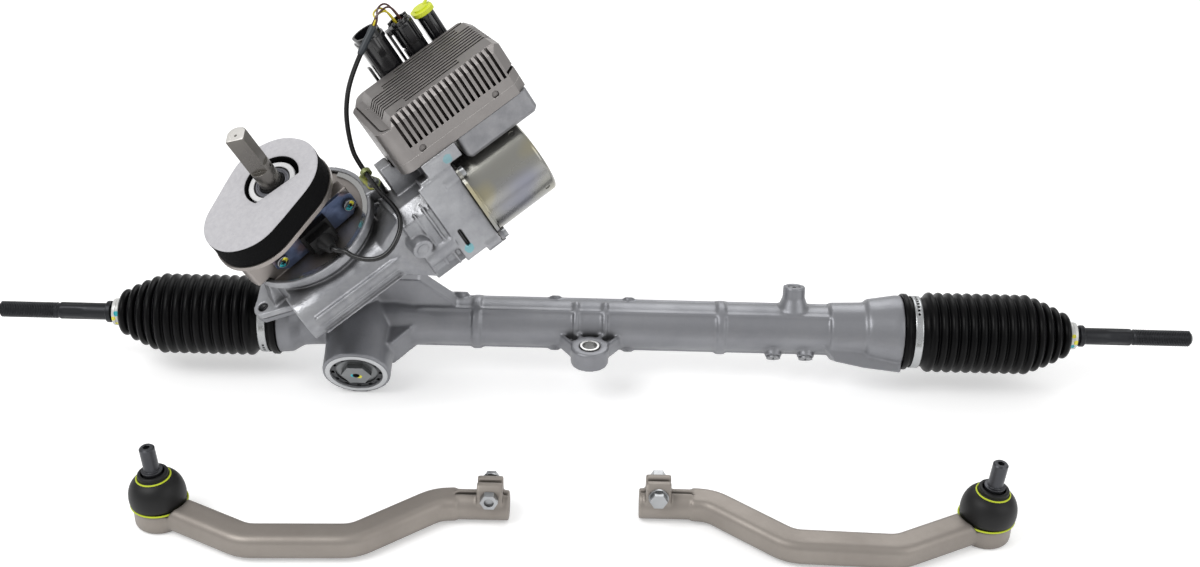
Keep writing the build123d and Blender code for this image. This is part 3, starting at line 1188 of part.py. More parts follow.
def make_control_unit():
    m0, m1 = UNIT_M
    d0, d1 = UNIT_D
    wall = UNIT_WALL
    split = UNIT_SPLIT_H
    base = plan_corners(block(m0, m1, d0, d1, UNIT_BASE_H, split), 12, 9)
    base += block(SHELF_M[0] - 14, SHELF_M[1], d1 - 1, SHELF_D, split - 6, split)
    base -= block(m0 + wall + 2, m1 - 12, d0 + wall, d1 - wall, UNIT_BASE_H + wall, split + 1)
    base -= block(150, 166, -12, 12, UNIT_BASE_H - 1, UNIT_BASE_H + wall + 1)
    for m, d in UNIT_SCREWS:
        base += Pos(m, d) * rod(5.5, UNIT_BASE_H, split)
        base -= Pos(m, d) * rod(2.3, UNIT_BASE_H - 1, split + 1)
        base -= Pos(m, d) * rod(4.8, UNIT_BASE_H - 1, UNIT_BASE_H + 3.4)
    keep("unit_base", UNIT * base)

    fin = FIN_DEPTH
    rise = UNIT_TOP_RISE
    cover = unit_cover_body()
    room = unit_profile(
        d0 + wall + fin,
        d1 - wall,
        split - 1,
        UNIT_TOP_H - fin - wall,
        UNIT_TOP_H + rise - fin - wall,
        m0 + wall + 2,
        m1 - 13,
    )
    cover -= room
    shelf_deep = (d1 - wall - 1, SHELF_D - wall)
    cover -= block(SHELF_M[0] + wall, SHELF_M[1] - wall, *shelf_deep, split - 1, SHELF_H - wall)
    deck = Plane(origin=(0, d0, UNIT_TOP_H), x_dir=(1, 0, 0), z_dir=(0, -rise, d1 - d0))
    for i, (left, right) in enumerate(GROOVES):
        start = GROOVE_FIRST + i * GROOVE_PITCH
        cover -= deck * block(left, right + 6, start, start + GROOVE_GAP, 0.2 - DECK_STEP, 9)
    for i in range(FRONT_SLOTS):
        m = 105 + i * FIN_PITCH
        cover -= block(m, m + FIN_GAP, d0 - 1, d0 + fin, SLOT_LOW, UNIT_TOP_H + 2)
    for m, d in UNIT_SCREWS:
        cover += Pos(m, d) * rod(5.5, split, split + 11)
        cover -= Pos(m, d) * rod(2.0, split - 1, split + 9)
    for m, d, radius in (SOCKETS["power"], SOCKETS["signal"], SOCKETS["spare"]):
        cover -= Pos(m, d) * rod(radius - 4, SHELF_H - wall - 1, SHELF_H + 1)
    for m in (113.5, 187.5):
        cover -= Pos(m, 0, 70.5) * Rot(90, 0, 0) * rod(3.2, -d0 - 1.4, -d0 + 1)
    cover -= block(m1 - 9, m1 + 1, d0 - 1, d0 + 14, 77.5, 80.3)
    cover -= deck * block(113, 119, 7.5, 9.5, -1.6, 2)
    keep("unit_cover", UNIT * cover)

    board = block(m0 + 12, m1 - 16, d0 + 13, d1 - 6, UNIT_SPLIT_H + 0.5, UNIT_SPLIT_H + 2.1)
    board += block(m0 + 14, m0 + 40, -18, 20, UNIT_SPLIT_H + 2, UNIT_SPLIT_H + 12)
    board += block(m0 + 50, m0 + 72, -12, 12, UNIT_SPLIT_H + 2, UNIT_SPLIT_H + 5)
    for i in range(4):
        board += Pos(m0 + 82 + i * 9, -16) * rod(3.6, UNIT_SPLIT_H + 2, UNIT_SPLIT_H + 18)
        board += block(m0 + 78 + i * 9, m0 + 85 + i * 9, 8, 20, UNIT_SPLIT_H + 2, UNIT_SPLIT_H + 6)
    board += block(m0 + 44, m1 - 20, d1 - 6.5, d1 - 3.2, UNIT_SPLIT_H + 0.5, UNIT_SPLIT_H + 8)
    for m, d in UNIT_SCREWS:
        board -= Pos(m, d) * rod(7.0, UNIT_SPLIT_H, UNIT_SPLIT_H + 30)
    keep("unit_board", UNIT * board)

    box = block(TERMINAL_M[0], TERMINAL_M[1], d0, 30, 37, UNIT_BASE_H)
    box = fillet(box.edges().filter_by(Axis.Z), 5)
    box = chamfer(box.edges().group_by(Axis.Z)[0], 3.5)
    box -= Rot(0, 90, 0) * rod(CAN_R + 0.4, 100, 240)
    box -= block(TERMINAL_M[0] + 4, TERMINAL_M[1] - 4, -14, 14, 43, UNIT_BASE_H + 1)
    keep("terminal_box", UNIT * box)

    for m, d in UNIT_SCREWS:
        screw = rod(2.0, UNIT_BASE_H + 3, UNIT_SPLIT_H + 8) + rod(4.4, UNIT_BASE_H, UNIT_BASE_H + 3.4)
        screw -= extrude(Pos(0, 0, UNIT_BASE_H - 1) * RegularPolygon(2.3, 6), amount=3)
        case_screws.append(UNIT * Pos(m, d) * screw)


def oval(m, d, half_m, half_d, start, end):
    """An upright oval block in the unit's frame."""
    radius = min(half_m, half_d)
    if half_m > half_d:
        centres = [(m - half_m + radius, d, radius), (m + half_m - radius, d, radius)]
    else:
        centres = [(m, d - half_d + radius, radius), (m, d + half_d - radius, radius)]
    return hull_plate(centres, start, end)


def make_connectors():
    m, d, radius = SOCKETS["power"]
    foot = SHELF_H
    shell = oval(m, d, 12, 16, foot, POWER_TOP)
    shell += oval(m, d, 13.4, 17.4, foot, foot + 5) + oval(m, d, 13.2, 17.2, POWER_TOP - 9, POWER_TOP - 5)
    shell -= oval(m, d, 9.8, 13.8, foot + 14, POWER_TOP + 1)
    shell += rod(radius - 4, foot - 2, foot + 0.01).moved(Pos(m, d))
    shell += block(m - 1.6, m + 1.6, d + 15.5, d + 19, foot + 30, POWER_TOP - 3)
    pieces = [UNIT * shell]
    for y in (-6.5, 6.5):
        blade = block(m - 4.5, m + 4.5, d + y - 0.9, d + y + 0.9, foot + 14, POWER_TOP - 20)
        pieces.append(UNIT * blade)
    keep("power_socket", Compound(children=pieces))

    m, d, radius = SOCKETS["signal"]
    shell = oval(m, d, 9, 12, foot, SIGNAL_TOP) + oval(m, d, 10.4, 13.4, foot, foot + 4)
    shell += rod(radius - 4, foot - 2, foot + 0.01).moved(Pos(m, d))
    for way in (-1, 1):
        shell += block(m + way * 9 - 1, m + way * 9 + 1, d - 4, d + 4, foot + 16, SIGNAL_TOP - 4)
    keep("signal_socket", UNIT * shell)
    plug = oval(m, d, 10.5, 13.5, SIGNAL_TOP, PLUG_TOP) + oval(m, d, 8, 11, PLUG_TOP - 0.01, PLUG_TOP + 3)
    plug += block(m - 3, m + 3, d - 16.5, d - 12, SIGNAL_TOP + 3, PLUG_TOP - 2)
    plug -= oval(m, d, 6.5, 9, PLUG_TOP - 8, PLUG_TOP + 4)
    keep("cable_plug", UNIT * plug)

    m, d, radius = SOCKETS["spare"]
    shell = oval(m, d, 8, 11, foot, SPARE_TOP) + oval(m, d, 9.4, 12.4, foot, foot + 4)
    shell -= oval(m, d, 6, 9, foot + 16, SPARE_TOP + 1)
    shell += rod(radius - 4, foot - 2, foot + 0.01).moved(Pos(m, d))
    keep("spare_socket", UNIT * shell)
    cap = oval(m, d, 9.8, 12.8, SPARE_TOP - 1.6, CAP_TOP)
    cap -= oval(m, d, 8 + 0.3, 11 + 0.3, SPARE_TOP - 3, SPARE_TOP + 0.3)
    cap += oval(m, d, 5.7, 8.7, SPARE_TOP - 6, SPARE_TOP + 1)
    cap += oval(m, d + 2, 6.5, 8.5, CAP_TOP - 0.5, CAP_TOP + 1.4)
    strap = block(0, 17, -2.2, 2.2, -0.6, 0.6)
    cap += Pos(m + 4, d + 3, CAP_TOP + 1.2) * Rot(0, -22, 0) * strap
    keep("socket_cap", UNIT * cap)


def in_part(frame, x, y, z):
    return frame.from_local_coords(Vector(x, y, z))


def make_cable():
    flat = on_flat()
    level = SENSOR_SCREW_T - 2
    lead = [flat.from_local_coords(Vector(0, level, SENSOR_BOOT_OUT + x)) for x in (-6, 3)]
    points = [in_part(PINION, *place) for place in lead] + [Vector(*p) for p in CABLE_POINTS]
    path = FilletPolyline(*points, radius=CABLE_BEND_R)
    cable = sweep(Plane(origin=path @ 0, z_dir=path % 0) * Circle(CABLE_R), path=path)
    top = points[-1]
    way = (top - points[-2]).normalized()
    cable += along(way, top - way * 14) * rod(CABLE_R + 0.8, 0, 14)
    keep("sensor_cable", cable)
    m, d, _ = SOCKETS["signal"]
    wires = []
    for i, (x, y) in enumerate(WIRE_PLACES):
        target = in_part(UNIT, m + x, d + y, PLUG_TOP - 6)
        above = in_part(UNIT, m + x, d + y, PLUG_TOP + 8)
        out = in_part(UNIT, m + x - 7, d + y * 0.8, PLUG_TOP + 14 + i)
        corner = along(way, top)
        start = corner.from_local_coords(Vector(*polar(1.3, 45 + 90 * i), 0.5))
        rise = corner.from_local_coords(Vector(*polar(2.0, 45 + 90 * i), 5))
        path = Spline(start, rise, out, above, target)
        wires.append(sweep(Plane(origin=path @ 0, z_dir=path % 0) * Circle(WIRE_R), path=path))
    keep("sensor_wires", Compound(children=wires))

    x, y, radius = CASE_LUGS[0]
    clip_at = Vector(*CABLE_POINTS[CLIP_INDEX])
    before, after = Vector(*CABLE_POINTS[CLIP_INDEX - 1]), Vector(*CABLE_POINTS[CLIP_INDEX + 1])
    clip_way = (after - before).normalized()
    hoop = along(clip_way, clip_at) * sleeve(CABLE_R + 2.6, CABLE_R + 0.5, -2, 2)
    local = PINION.to_local_coords(clip_at)
    low, high = RIM_TOP + 2, RIM_TOP + 3.6
    foot = hull_plate([(x, y, 6.2), (*CLIP_FOOT, 3.4)], low, high) - Pos(x, y) * rod(2.3, low - 1, high + 1)
    arm_end = Vector(*CLIP_FOOT, high - 0.8)
    reach = local - arm_end
    arm = block(-2.4, 2.4, -0.9, 0.9, 0, reach.length - CABLE_R - 1)
    arm = Plane(origin=arm_end, z_dir=reach.normalized()) * arm
    clip = PINION * (foot + arm) + hoop - cable
    keep("cable_clip", clip)
    screw = Pos(x, y, high) * bolt(2.2, 9, 8, 3.2, 5.2)
    spare_x, spare_y, _ = CASE_LUGS[1]
    case_screws.append(PINION * screw)
    case_screws.append(PINION * Pos(spare_x, spare_y, RIM_TOP + 2) * bolt(2.2, 8, 8, 3.2))


# Outer tie rod ends: forged arms with a pinch clamp, ball stud and boot, lying on the floor
def make_outer_end(side, way):
    """One end; way is -1 for the left arm and mirrors its bends for the right."""
    x0, y0 = OUTER_SOCKETS[side]
    toward = -way
    centre = FLOOR_Z + END_CENTRE_H
    frame = Plane(origin=(x0, y0, FLOOR_Z), x_dir=(1, 0, 0), z_dir=(0, 0, 1))

    def at(x, y, z=0.0):
        return Vector(toward * x, y, z)

    arm_z = centre - FLOOR_Z
    points = [at(x, y, arm_z) for x, y in OUTER_ARM_PATH]
    path = FilletPolyline(*points, radius=28)
    lying = Plane(origin=path @ 0, x_dir=(0, 0, 1), z_dir=path % 0)
    arm = sweep(lying * RectangleRounded(END_ARM_HIGH, END_ARM_WIDE, 7), path=path)
    clamp_frame = Plane(origin=points[-1], x_dir=(0, toward, 0), z_dir=(toward, 0, 0))
    clamp = rod(CLAMP_R, 0, CLAMP_LENGTH)
    ears = prism([(-10.5, 0), (10.5, 0), (10.5, CLAMP_EAR_TOP - 4), (6.5, CLAMP_EAR_TOP),
                  (-6.5, CLAMP_EAR_TOP), (-10.5, CLAMP_EAR_TOP - 4)], CLAMP_BOLT_X - 10, CLAMP_BOLT_X + 10)
    arm -= rod(END_SOCKET_R + 1.7, END_SOCKET_H, END_SOCKET_H + 20)
    body = arm + clamp_frame * (clamp + ears)
    socket = rod(END_SOCKET_R, 0.0, END_SOCKET_H) + rod(16.0, 0.0, END_SOCKET_H + 4)
    socket = chamfer(socket.edges().filter_by(GeomType.CIRCLE).sort_by(Axis.Z)[0], 2)
    body += socket
    body -= Pos(0, 0, END_BALL_H) * Sphere(END_BALL_R + RUN_FIT)
    body -= clamp_frame * rod(CLAMP_BORE_R, -1, CLAMP_LENGTH + 14)
    body -= clamp_frame * block(-CLAMP_SLOT / 2, CLAMP_SLOT / 2, 0, CLAMP_EAR_TOP + 2, -1, CLAMP_LENGTH + 6)
    bolt_line = clamp_frame * Plane(origin=(0, CLAMP_BOLT_H, CLAMP_BOLT_X), x_dir=(0, 0, 1), z_dir=(1, 0, 0))
    body -= bolt_line * rod(4.0, -20, 20)
    outer_ends.append(frame * body)
    pinch = bolt_line * Pos(0, 0, 10.5) * bolt(3.9, 25, 12, 6.5, 8.0)
    nut = extrude(Pos(0, 0, -16.5) * RegularPolygon(6.2, 6, major_radius=False), amount=6)
    nut = bolt_line * (nut - rod(3.9, -17, -10))
    pinch_bolts.append(frame * pinch)
    pinch_bolts.append(frame * nut)

    lean = Pos(0, 0, END_BALL_H) * Rot(0, -toward * STUD_LEAN_DEG, 0)
    top = STUD_TOP - END_BALL_H
    stud = Sphere(END_BALL_R) + turned(
        [(0, 0), (STUD_R, 0), (STUD_R, 20), (STUD_R + 2.2, 34), (STUD_R, 34.5), (STUD_R, top - 1.2),
         (STUD_R - 1.2, top), (0, top)]
    )
    stud -= extrude(Pos(0, 0, top - 6) * RegularPolygon(3.0, 6), amount=8)
    keep(f"ball_stud_{side}", frame * lean * stud)
    outline = [(12.0, 12.0), (19.6, 12.0), (20.3, 19.6), (21.5, 24), (21.4, 28), (19.6, 34), (15.6, 39),
               (11.2, 42), (11.2, 47), (8.7, 47), (8.7, 42.4), (13.4, 37.6), (17.4, 33), (19.2, 28),
               (19.0, 22), (15.0, 19.0), (12.0, 19.0)]
    ball_plane = Pos(0, 0, END_BALL_H)
    boot = lean * ball_plane.inverse() * turned(outline)
    boot -= rod(30, -5, END_SOCKET_H + 0.2)
    boot -= rod(16.2, 0, END_SOCKET_H + 4.5)
    stud_boots.append(frame * boot)
    boot_rings.append(frame * sleeve(22.2, 21.3, 18.0, 20.0))
    upper = lean * ball_plane.inverse() * sleeve(12.4, 11.2, 43.2, 45.2)
    boot_rings.append(frame * upper)


# Build every sub-part and write one file for each
make_rack_bar()
make_pinion_group()
make_input_group()
make_bearings()
make_tie_rod("right", RACK_RIGHT, 1)
make_tie_rod("left", RACK_LEFT, -1)
make_bellows("right", 1, BELLOWS_END_RIGHT)
make_bellows("left", -1, BELLOWS_END_LEFT)
make_rack_housing()
make_housing_fittings()
make_gear_case()
make_sensor_group()
make_motor_group()
make_control_unit()
make_connectors()
make_cable()
make_outer_end("left", -1)
make_outer_end("right", 1)
GROUPS = {
    "case_screws": case_screws,
    "rubber_seals": rubber_seals,
    "inner_sockets": inner_sockets,
    "ball_seats": ball_seats,
    "bellows_clamps": bellows_clamps,
    "outer_ends": outer_ends,
    "stud_boots": stud_boots,
    "boot_rings": boot_rings,
    "pinch_bolts": pinch_bolts,
}
for group_name, members in GROUPS.items():
    keep(group_name, Compound(children=members))

os.makedirs("parts", exist_ok=True)
for name, shape in nodes.items():
    export_step(shape, f"parts/{name}.step")
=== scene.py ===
"""Looks of an electric power steering rack with its outer tie rod ends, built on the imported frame."""

import logging
import math
from dataclasses import dataclass, field
from enum import Enum
from typing import Optional, Sequence

import bmesh
import bpy
from mathutils import Matrix, Vector, noise


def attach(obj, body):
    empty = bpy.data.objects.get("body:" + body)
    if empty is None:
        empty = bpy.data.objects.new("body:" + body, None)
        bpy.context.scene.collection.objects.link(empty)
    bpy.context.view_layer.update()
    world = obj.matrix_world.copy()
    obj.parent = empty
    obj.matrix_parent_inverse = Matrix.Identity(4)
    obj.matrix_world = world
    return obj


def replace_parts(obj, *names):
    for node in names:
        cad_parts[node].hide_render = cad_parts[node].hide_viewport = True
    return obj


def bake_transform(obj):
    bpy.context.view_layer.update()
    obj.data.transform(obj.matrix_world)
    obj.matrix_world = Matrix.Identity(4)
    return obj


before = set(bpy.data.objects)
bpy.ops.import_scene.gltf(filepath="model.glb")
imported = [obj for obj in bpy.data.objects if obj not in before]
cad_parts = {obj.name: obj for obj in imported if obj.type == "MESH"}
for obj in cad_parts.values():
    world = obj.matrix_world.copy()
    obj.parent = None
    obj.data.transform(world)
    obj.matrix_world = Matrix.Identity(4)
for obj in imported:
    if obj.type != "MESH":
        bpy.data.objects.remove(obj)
LOG = logging.getLogger("steering_rack")
MM = 0.001
Point = Sequence[float]
Colour = tuple[float, float, float]


def tint(code: str) -> Colour:
    """The linear colour of a hexadecimal screen colour.

    Args:
        code: six hexadecimal digits.

    Returns:
        Red, green and blue as linear values.
    """
    values = [int(code[i : i + 2], 16) / 255 for i in (0, 2, 4)]
    return tuple(v / 12.92 if v <= 0.04045 else ((v + 0.055) / 1.055) ** 2.4 for v in values)


class Body(Enum):
    """The moving bodies of the frame that pieces ride on."""

    HOUSING = "housing"
    RACK = "rack"
    INPUT = "input"
    TIE_LEFT = "tie_left"
    TIE_RIGHT = "tie_right"
    STUD_LEFT = "stud_left"
    STUD_RIGHT = "stud_right"
    CAP = "cap"


class Side(Enum):
    """The two ends of the rack, with the way each one points along X."""

    LEFT = -1
    RIGHT = 1

    @property
    def word(self) -> str:
        """The side's name in node names."""
        return self.name.lower()


@dataclass(frozen=True)
class Axes:
    """A working frame of the part, with its origin in millimetres."""

    origin: Vector
    x: Vector
    z: Vector

    @property
    def y(self) -> Vector:
        """The third direction."""
        return self.z.cross(self.x)

    def matrix(self) -> Matrix:
        """The transform from local millimetres to the part's metres.

        Returns:
            A matrix for mesh vertices.
        """
        columns = [self.x.normalized(), self.y.normalized(), self.z.normalized()]
        rows = [[c[i] * MM for c in columns] + [self.origin[i] * MM] for i in range(3)]
        return Matrix(rows + [[0, 0, 0, 1]])

    def at(self, x: float, y: float, z: float) -> Vector:
        """A local point in the part's metres."""
        return self.matrix() @ Vector((x, y, z))

    def moved(self, x: float, y: float, z: float) -> "Axes":
        """The same directions at another local origin."""
        return Axes(self.at(x, y, z) / MM, self.x, self.z)


@dataclass(frozen=True)
class Layout:
    """The axes of the rack, pinion, worm and control unit, as the part has them."""

    rack_y: float = 42.0
    rack_z: float = 14.0
    pinion_x: float = -204.5
    tilt_deg: float = 23.7
    skew_deg: float = 19.3
    swing_deg: float = 35.0
    roll_deg: float = 22.0
    pinion_offset: float = 16.503
    worm_level: float = 84.0
    centre_distance: float = 52.0
    floor_z: float = -37.6

    def back(self) -> Vector:
        """The direction from the rack towards the pinion."""
        tilt = math.radians(self.tilt_deg)
        return Vector((0, math.cos(tilt), math.sin(tilt)))

    def pinion_way(self) -> Vector:
        """The direction of the pinion axis, upwards."""
        tilt, skew = math.radians(self.tilt_deg), math.radians(self.skew_deg)
        return Vector(
            (-math.sin(skew), -math.cos(skew) * math.sin(tilt), math.cos(skew) * math.cos(tilt))
        )

    def rack(self, way: int = 1) -> Axes:
        """The rack axis, with Z along the rack."""
        return Axes(Vector((0, self.rack_y, self.rack_z)), Vector((0, way, 0)), Vector((way, 0, 0)))

    def pinion(self) -> Axes:
        """The pinion axis, with Z up the shaft."""
        way = self.pinion_way()
        origin = Vector((self.pinion_x, self.rack_y, self.rack_z)) + self.back() * self.pinion_offset
        return Axes(origin, self.back().cross(way), way)

    def worm_ways(self) -> tuple[Vector, Vector]:
        """The worm axis and the direction from the worm to the wheel."""
        swing = math.radians(self.swing_deg)
        cross = self.back().cross(self.pinion_way())
        along = cross * math.cos(swing) + self.back() * math.sin(swing)
        return along, self.pinion_way().cross(along)

    def worm(self) -> Axes:
        """The worm and motor axis, with Z towards the motor."""
        along, side = self.worm_ways()
        pinion = self.pinion()
        origin = pinion.origin + pinion.z * self.worm_level - side * self.centre_distance
        return Axes(origin, side, along)

    def unit(self) -> Axes:
        """The control unit: X along the motor, Z away from it."""
        along, side = self.worm_ways()
        roll = math.radians(self.roll_deg)
        up = self.pinion_way() * math.cos(roll) + side * math.sin(roll)
        return Axes(self.worm().origin, along, up)

    def yoke(self) -> Axes:
        """The yoke plug's axis, with Z out of its boss."""
        origin = Vector((self.pinion_x, self.rack_y, self.rack_z))
        return Axes(origin, Vector((1, 0, 0)), -self.back())


LAYOUT = Layout()


class Form:
    """Mesh makers. Local shapes are in millimetres and land in the part's metres."""

    @staticmethod
    def finish(name: str, mesh: bmesh.types.BMesh, axes: Axes, sharp_deg: float = 35.0) -> bpy.types.Object:
        """Turns a bmesh in local millimetres into an object.

        Args:
            name: the object's name.
            mesh: the bmesh, which is freed.
            axes: where the local shape stands.
            sharp_deg: edges sharper than this stay crisp.

        Returns:
            The new object.
        """
        bmesh.ops.recalc_face_normals(mesh, faces=mesh.faces)
        mesh.transform(axes.matrix())
        data = bpy.data.meshes.new(name)
        mesh.to_mesh(data)
        mesh.free()
        data.polygons.foreach_set("use_smooth", [True] * len(data.polygons))
        data.set_sharp_from_angle(angle=math.radians(sharp_deg))
        piece = bpy.data.objects.new(name, data)
        bpy.context.scene.collection.objects.link(piece)
        return piece

    @staticmethod
    def rings(
        name: str,
        rings: Sequence[Sequence[Point]],
        axes: Axes,
        loop: bool = False,
        caps: bool = True,
        sharp_deg: float = 35.0,
    ) -> bpy.types.Object:
        """Skins a row of rings that have the same number of points.

        Args:
            name: the object's name.
            rings: the rings, each a list of local points.
            axes: where the shape stands.
            loop: join the last ring to the first, for an annular solid.
            caps: close both end rings.
            sharp_deg: edges sharper than this stay crisp.

        Returns:
            The new object.
        """
        mesh = bmesh.new()
        rows = [[mesh.verts.new(p) for p in ring] for ring in rings]
        count = len(rows[0])
        pairs = list(zip(rows, rows[1:])) + ([(rows[-1], rows[0])] if loop else [])
        for low, high in pairs:
            for i in range(count):
                j = (i + 1) % count
                mesh.faces.new((low[i], low[j], high[j], high[i]))
        if caps and not loop:
            mesh.faces.new(rows[0][::-1])
            mesh.faces.new(rows[-1])
        return Form.finish(name, mesh, axes, sharp_deg)

    @staticmethod
    def lathe(
        name: str, profile: Sequence[Point], axes: Axes, around: int = 96, loop: bool = True,
        sharp_deg: float = 35.0
    ) -> bpy.types.Object:
        """A solid of revolution about local Z.

        Args:
            name: the object's name.
            profile: corners as radius and height.
            axes: where the shape stands.
            around: points round the axis.
            loop: the profile closes on itself, as in a ring.
            sharp_deg: edges sharper than this stay crisp.

        Returns:
            The new object.
        """
        turns = [2 * math.pi * i / around for i in range(around)]
        rings = [[(r * math.cos(a), r * math.sin(a), z) for a in turns] for r, z in profile]
        return Form.rings(name, rings, axes, loop=loop, sharp_deg=sharp_deg)

    @staticmethod
    def outline(circles: Sequence[Point], centre: Point, count: int) -> list[Point]:
        """The line round a set of circles, at even angles about a point inside it.

        Args:
            circles: circles as x, y and radius.
            centre: a point inside the outline.
            count: the number of points.

        Returns:
            Points as x and y.
        """
        points = []
        for i in range(count):
            turn = 2 * math.pi * i / count
            way = Vector((math.cos(turn), math.sin(turn)))
            points.append(tuple(Vector(centre) + way * Form.reach(circles, Vector(centre), way)))
        return points

    @staticmethod
    def reach(circles: Sequence[Point], centre: Vector, way: Vector) -> float:
        """How far a ray goes before it leaves the outline round some circles.

        Args:
            circles: circles as x, y and radius.
            centre: where the ray starts.
            way: its direction, of length 1.

        Returns:
            The distance to the outline.
        """
        best = 1e9
        for k in range(180):
            turn = 2 * math.pi * k / 180
            out = Vector((math.cos(turn), math.sin(turn)))
            wall = max(Vector((x, y)).dot(out) + r for x, y, r in circles) - centre.dot(out)
            slope = way.dot(out)
            if slope > 1e-3:
                best = min(best, wall / slope)
        return best

    @staticmethod
    def plate(
        name: str, outline: Sequence[Point], low: float, high: float, axes: Axes, edge: float = 0.4
    ) -> bpy.types.Object:
        """An upright plate with rounded rims.

        Args:
            name: the object's name.
            outline: its outline as x and y.
            low: the lower level.
            high: the upper level.
            axes: where the shape stands.
            edge: the radius of its rims.

        Returns:
            The new object.
        """
        middle = sum((Vector(p) for p in outline), Vector((0, 0))) / len(outline)
        levels = [(edge, low), (edge * 0.3, low + edge * 0.3), (0, low + edge)]
        levels += [(0, high - edge), (edge * 0.3, high - edge * 0.3), (edge, high)]
        rings = []
        for inset, level in levels:
            ring = []
            for p in outline:
                arm = Vector(p) - middle
                q = middle + arm * (1 - inset / max(arm.length, 1e-6))
                ring.append((q.x, q.y, level))
            rings.append(ring)
        return Form.rings(name, rings, axes, sharp_deg=50)

    @staticmethod
    def curve(name: str, points: Sequence[Vector], radius: float, ends: bool = True) -> bpy.types.Object:
        """A round line on a NURBS spline.

        Args:
            name: the object's name.
            points: the control points in metres.
            radius: the line's radius in millimetres.
            ends: close the two ends.

        Returns:
            The new curve object.
        """
        data = bpy.data.curves.new(name, "CURVE")
        data.dimensions = "3D"
        data.resolution_u = 16
        data.bevel_depth = radius * MM
        data.bevel_resolution = 6
        data.use_fill_caps = ends
        spline = data.splines.new("NURBS")
        spline.points.add(len(points) - 1)
        for place, point in zip(spline.points, points):
            place.co = (*point, 1)
        spline.order_u = 3
        spline.use_endpoint_u = True
        piece = bpy.data.objects.new(name, data)
        bpy.context.scene.collection.objects.link(piece)
        return piece

    @staticmethod
    def soft_copy(name: str, node: str, voxel: float, rounds: int) -> bpy.types.Object:
        """A casting with the rounded edges and filled corners that the plain solid lacks.

        Args:
            name: the new object's name.
            node: the CAD node that it stands for.
            voxel: the size of the remeshed faces, in millimetres.
            rounds: how many times the surface is evened out.

        Returns:
            The new object, which replaces the node.
        """
        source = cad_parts[node]
        coarse = 1.0
        working = bpy.data.objects.new(name + "_work", source.data.copy())
        bpy.context.scene.collection.objects.link(working)
        remesh = working.modifiers.new("remesh", "REMESH")
        remesh.mode = "VOXEL"
        remesh.voxel_size = voxel * coarse * MM
        remesh.adaptivity = 0.0
        even = working.modifiers.new("even", "SMOOTH")
        even.factor = 0.5
        even.iterations = max(1, int(rounds / coarse))
        graph = bpy.context.evaluated_depsgraph_get()
        data = bpy.data.meshes.new_from_object(working.evaluated_get(graph))
        bpy.data.objects.remove(working)
        data.name = name
        data.polygons.foreach_set("use_smooth", [True] * len(data.polygons))
        data.materials.clear()
        piece = bpy.data.objects.new(name, data)
        bpy.context.scene.collection.objects.link(piece)
        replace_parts(piece, node)
        return piece


class Tree:
    """Short hand for wiring one node tree."""

    def __init__(self, tree: bpy.types.NodeTree) -> None:
        """Keeps the tree.

        Args:
            tree: the node tree to fill.
        """
        self.tree = tree

    def add(self, kind: str, inputs: Optional[dict] = None, **settings: object) -> bpy.types.Node:
        """Adds a node.

        Args:
            kind: the node's type name, without ShaderNode.
            inputs: values or sockets for its inputs, by name or number.
            settings: the node's own properties.

        Returns:
            The new node.
        """
        node = self.tree.nodes.new(kind if kind.startswith("Node") else "ShaderNode" + kind)
        for name, value in settings.items():
            setattr(node, name, value)
        for name, value in (inputs or {}).items():
            self.feed(value, node.inputs[name])
        return node

    def feed(self, value: object, socket: bpy.types.NodeSocket) -> None:
        """Links a socket, or sets a plain value.

        Args:
            value: an output socket or a value.
            socket: the input that gets it.
        """
        if isinstance(value, bpy.types.NodeSocket):
            self.tree.links.new(value, socket)
        elif hasattr(socket.default_value, "__len__") and len(socket.default_value) == 4:
            socket.default_value = (*value, 1.0)
        else:
            socket.default_value = value

    def sum(self, kind: str, first: object, second: object = 0.0,
        clamp: bool = False) -> bpy.types.NodeSocket:
        """A Math node's result.

        Args:
            kind: the operation.
            first: the first value or socket.
            second: the second value or socket.
            clamp: keep the result from 0 to 1.

        Returns:
            The result's socket.
        """
        node = self.add("Math", {0: first, 1: second}, operation=kind, use_clamp=clamp)
        return node.outputs[0]

    def blend(self, share: object, first: object, second: object) -> bpy.types.NodeSocket:
        """A mix of two colours.

        Args:
            share: how much of the second, from 0 to 1.
            first: the first colour.
            second: the second colour.

        Returns:
            The mixed colour's socket.
        """
        node = self.add("Mix", data_type="RGBA", clamp_factor=True)
        self.feed(share, node.inputs[0])
        self.feed(first, node.inputs[6])
        self.feed(second, node.inputs[7])
        return node.outputs[2]

    def spread(self, value: object, low: float, high: float, to_low: float = 0.0,
        to_high: float = 1.0) -> bpy.types.NodeSocket:
        """A value mapped from one range to another, and kept inside it.

        Args:
            value: the socket to map.
            low: the start of its range.
            high: the end of its range.
            to_low: the result at the start.
            to_high: the result at the end.

        Returns:
            The mapped value's socket.
        """
        node = self.add("MapRange", {0: value, 1: low, 2: high, 3: to_low, 4: to_high}, clamp=True)
        return node.outputs[0]


